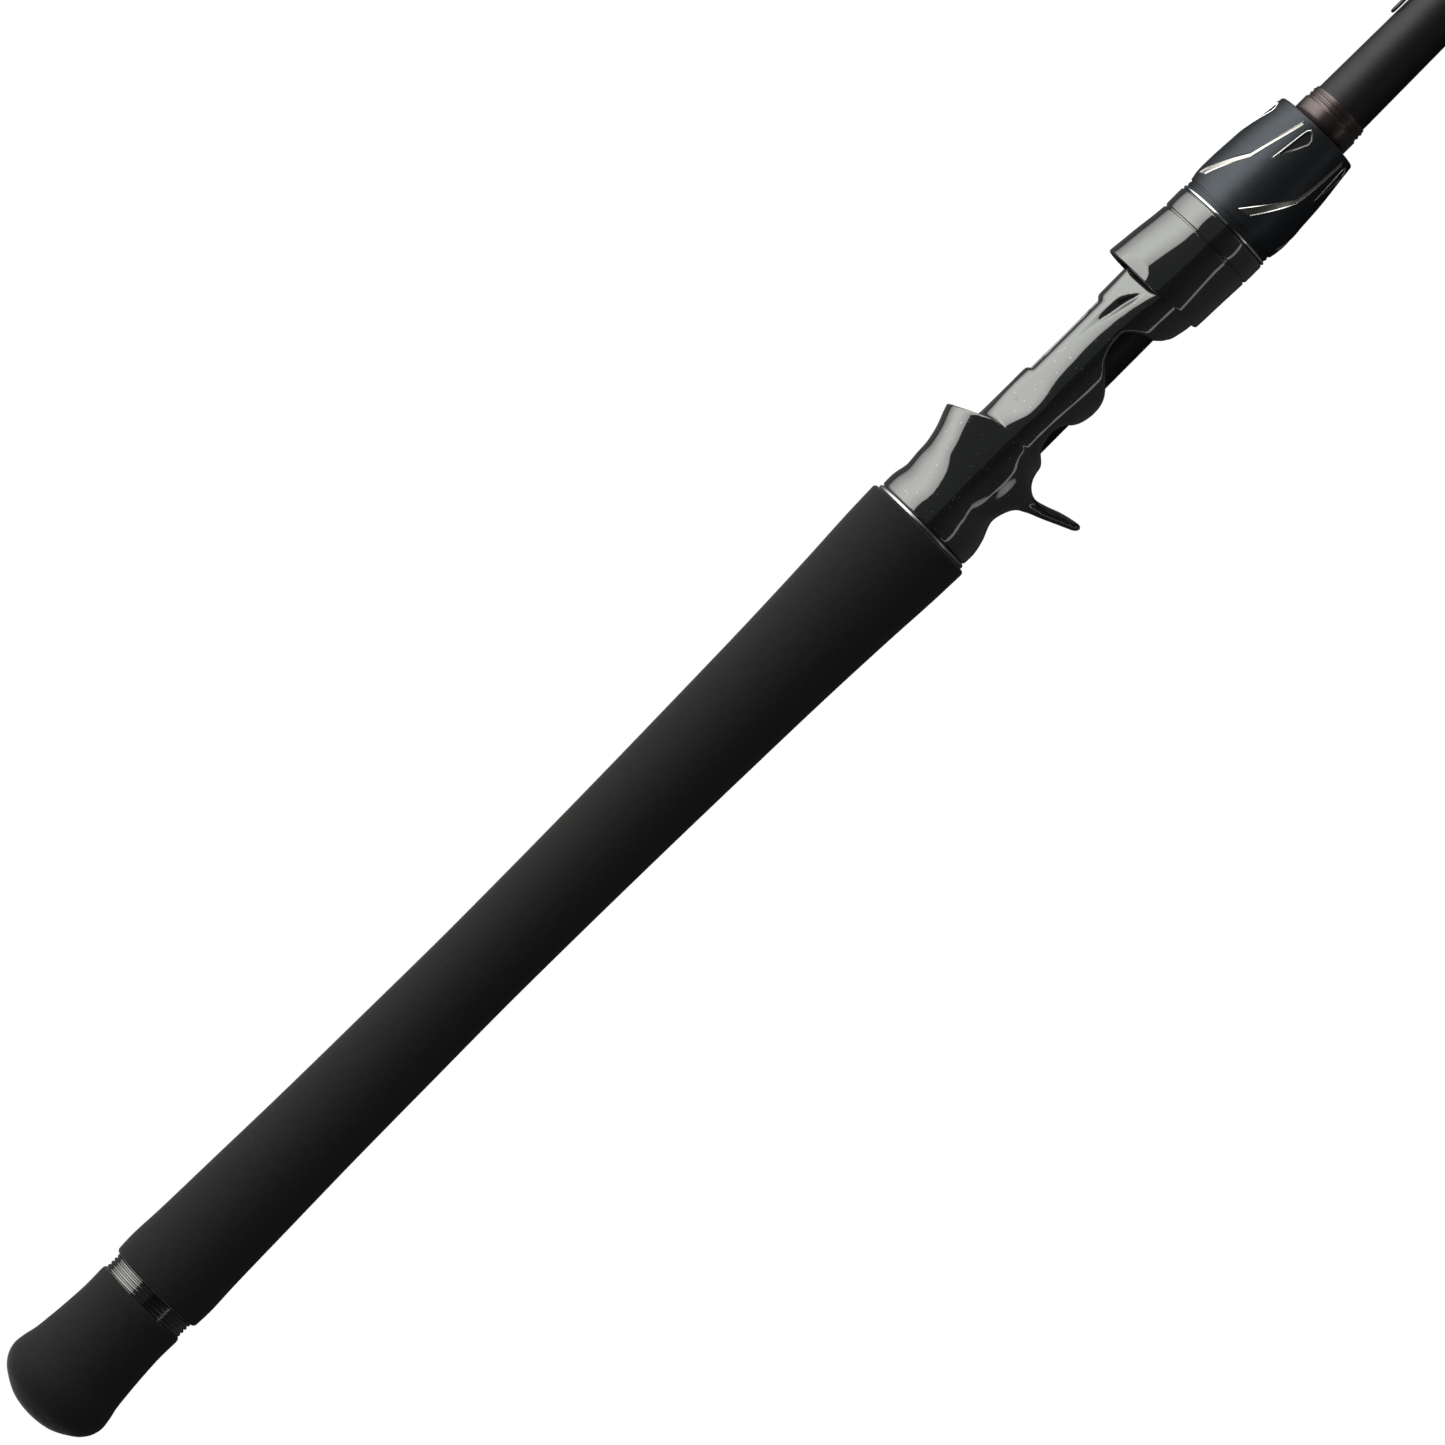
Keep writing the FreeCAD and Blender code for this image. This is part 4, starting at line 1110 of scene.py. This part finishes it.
def makeKeeperLoop(shape):
    low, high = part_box("keeper_loop")
    half, corner, wire = shape["half"], shape["corner"], shape["wire"]
    x1, x0 = high[0] * 1000 - wire, low[0] * 1000 + wire
    z = (low[2] + high[2]) * 500
    path = [(x1, half - corner)]
    for n in range(9):
        a = math.pi / 2 * n / 8
        path.append((x1 - corner + corner * math.sin(math.pi / 2 - a), -half + corner - corner * math.sin(a)))
    for n in range(25):
        a = math.pi * n / 24
        path.append((x0 + half - half * math.sin(a), -half * math.cos(a)))
    for n in range(9):
        a = math.pi / 2 * n / 8
        path.append((x1 - corner + corner * math.sin(a), half - corner + corner * math.cos(a)))
    line = bpy.data.curves.new("keeperLine", "CURVE")
    line.dimensions = "3D"
    line.bevel_depth = wire / 1000
    line.bevel_resolution = 4
    spline = line.splines.new("POLY")
    spline.points.add(len(path) - 1)
    for point, (x, y) in zip(spline.points, path):
        point.co = (x / 1000, y / 1000, z / 1000, 1)
    spline.use_cyclic_u = True
    maker = linkNew("keeperMaker", line)
    mesh = bpy.data.meshes.new_from_object(maker.evaluated_get(bpy.context.evaluated_depsgraph_get()))
    bpy.data.objects.remove(maker)
    mesh.materials.clear()
    mesh.materials.append(wireMaterial)
    mesh.polygons.foreach_set("use_smooth", [True] * len(mesh.polygons))
    return linkNew("keeperLoop", mesh)


standFor(makeKeeperLoop(keeperShape), "hook_keeper", "wire", "keeper_loop")
print("stage: hook keeper made")


# finishes for the pieces kept from the frame
keptFinishes = {
    "fixed_hood_liner": steelMaterial,
    "hood_liner": steelMaterial,
    "nut_core": shimMaterial,
    "seat_arbor_rear": shimMaterial,
    "seat_arbor_front": shimMaterial,
    "keeper_foot": wireMaterial,
}
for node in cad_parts:
    finish = keptFinishes.get(node)
    if node.startswith(("guide_", "tip_top_")):
        finish = ceramicMaterial if node.endswith("_ring") else wireMaterial
    if finish is not None and not node.endswith("_wraps"):
        for slot in bpy.data.objects[node].material_slots:
            slot.material = finish
print("stage: small parts dressed")


# floor, light and camera
studioPlan = {
    "floorSize": 60.0,
    "floorHeight": -1.1,
    "floorShade": 0.085,
    "worldColour": (0.95, 0.97, 0.98, 1),
    "worldLevel": 0.085,
}


def makeStage(plan):
    size, height = plan["floorSize"], plan["floorHeight"]
    mesh = bpy.data.meshes.new("floor")
    corners = [(size * a, size * b, height) for a, b in ((-1, -1), (1, -1), (1, 1), (-1, 1))]
    mesh.from_pydata(corners, [], [(0, 1, 2, 3)])
    floor = linkNew("floor", mesh)
    material = bpy.data.materials.new("paleFloor")
    material.use_nodes = True
    tree = material.node_tree
    tree.nodes.clear()
    seen = addNode(tree, "ShaderNodeEmission", {"Color": (1, 1, 1, 1), "Strength": 1.0})
    shade = plan["floorShade"]
    lit = addNode(tree, "ShaderNodeBsdfDiffuse", {"Color": (shade, shade, shade, 1)})
    ray = addNode(tree, "ShaderNodeLightPath")
    mix = addNode(
        tree, "ShaderNodeMixShader",
        {0: ray.outputs["Is Camera Ray"], 1: lit.outputs[0], 2: seen.outputs[0]},
    )
    addNode(tree, "ShaderNodeOutputMaterial", {0: mix.outputs[0]})
    mesh.materials.append(material)


def makeWorld(plan):
    world = bpy.data.worlds.new("studio")
    bpy.context.scene.world = world
    world.use_nodes = True
    tree = world.node_tree
    tree.nodes.clear()
    white = addNode(tree, "ShaderNodeBackground", {"Color": (1, 1, 1, 1), "Strength": 1.0})
    dim = addNode(
        tree, "ShaderNodeBackground", {"Color": plan["worldColour"], "Strength": plan["worldLevel"]},
    )
    ray = addNode(tree, "ShaderNodeLightPath")
    mix = addNode(
        tree, "ShaderNodeMixShader",
        {0: ray.outputs["Is Camera Ray"], 1: dim.outputs[0], 2: white.outputs[0]},
    )
    addNode(tree, "ShaderNodeOutputWorld", {0: mix.outputs[0]})


def addSoftBox(name, plan):
    # placed by its angle over the rod: 0 is level behind it, 90 overhead, 180 level in front
    light = bpy.data.lights.new(name, "AREA")
    light.shape = "RECTANGLE"
    light.size, light.size_y = plan["width"], plan["depth"]
    light.energy = plan["radiance"] * math.pi * plan["width"] * plan["depth"]
    light.color = plan["colour"]
    light.use_nodes = True
    tree = light.node_tree
    glow = next(n for n in tree.nodes if n.type == "EMISSION")
    place = addNode(tree, "ShaderNodeNewGeometry")
    split = addNode(tree, "ShaderNodeSeparateXYZ", {0: place.outputs["Parametric"]})
    curve = addNode(tree, "ShaderNodeFloatCurve", {"Value": split.outputs[1]})
    line = curve.mapping.curves[0]
    highest = max(level for _, level in plan["fade"])
    for n, (at, level) in enumerate(plan["fade"]):
        if n < 2:
            line.points[n].location = (at, level / highest)
        else:
            line.points.new(at, level / highest)
    curve.mapping.update()
    scaled = mathNode(tree, "MULTIPLY", curve.outputs[0], highest)
    tree.links.new(scaled, glow.inputs["Strength"])
    box = linkNew(name, light)
    turn = math.radians(plan["angle"])
    back = Vector((0, math.cos(turn), math.sin(turn)))
    place = Vector((0.7, 0, 0)) + back * plan["distance"]
    side = Vector((-1, 0, 0))
    up = back.cross(side).normalized()
    box.matrix_world = Matrix.Translation(place) @ Matrix((side, up, back)).transposed().to_4x4()
    box.visible_camera = False


lightPlan = {
    "overheadBox": {
        "angle": 95.2, "distance": 1.0, "width": 3.6, "depth": 2.24, "radiance": 1.0,
        "colour": (0.98, 1.0, 0.955),
        # brightness across the box, from its far edge to its near one
        "fade": [
            (0.0, 0.2), (0.12, 0.95), (0.3, 2.0), (0.43, 3.1), (0.54, 3.8), (0.64, 4.1), (0.73, 3.9),
            (0.81, 3.5), (0.9, 3.1), (0.97, 2.6), (1.0, 1.2),
        ],
    },
    "lowStrip": {
        "angle": 236.0, "distance": 0.96, "width": 3.6, "depth": 0.1, "radiance": 1.0, "colour": (1, 1, 1),
        "fade": [(0.0, 0.1), (0.3, 1.1), (0.7, 1.1), (1.0, 0.1)],
    },
}
makeStage(studioPlan)
makeWorld(studioPlan)
for name, plan in lightPlan.items():
    addSoftBox(name, plan)

cameraPlan = {
    "target": (-0.1196, 0.0, 0.0003), "distance": 2.6, "elevation": 3.0, "roll": 44.873,
    "frameWidth": 0.3468,
}


def makeCamera(plan):
    camera = linkNew("camera", bpy.data.cameras.new("camera"))
    rise, roll = math.radians(plan["elevation"]), math.radians(plan["roll"])
    back = Vector((0, -math.cos(rise), math.sin(rise)))
    along, up = Vector((1, 0, 0)), Vector((0, math.sin(rise), math.cos(rise)))
    right = along * math.cos(roll) - up * math.sin(roll)
    top = along * math.sin(roll) + up * math.cos(roll)
    place = Vector(plan["target"]) + back * plan["distance"]
    camera.matrix_world = Matrix.Translation(place) @ Matrix((right, top, back)).transposed().to_4x4()
    camera.data.sensor_width = 36
    camera.data.lens = 36 * plan["distance"] / plan["frameWidth"]
    camera.data.clip_end = 200
    bpy.context.scene.camera = camera


makeCamera(cameraPlan)
bpy.context.scene.view_settings.view_transform = "Standard"
print("stage: floor, light and camera made")
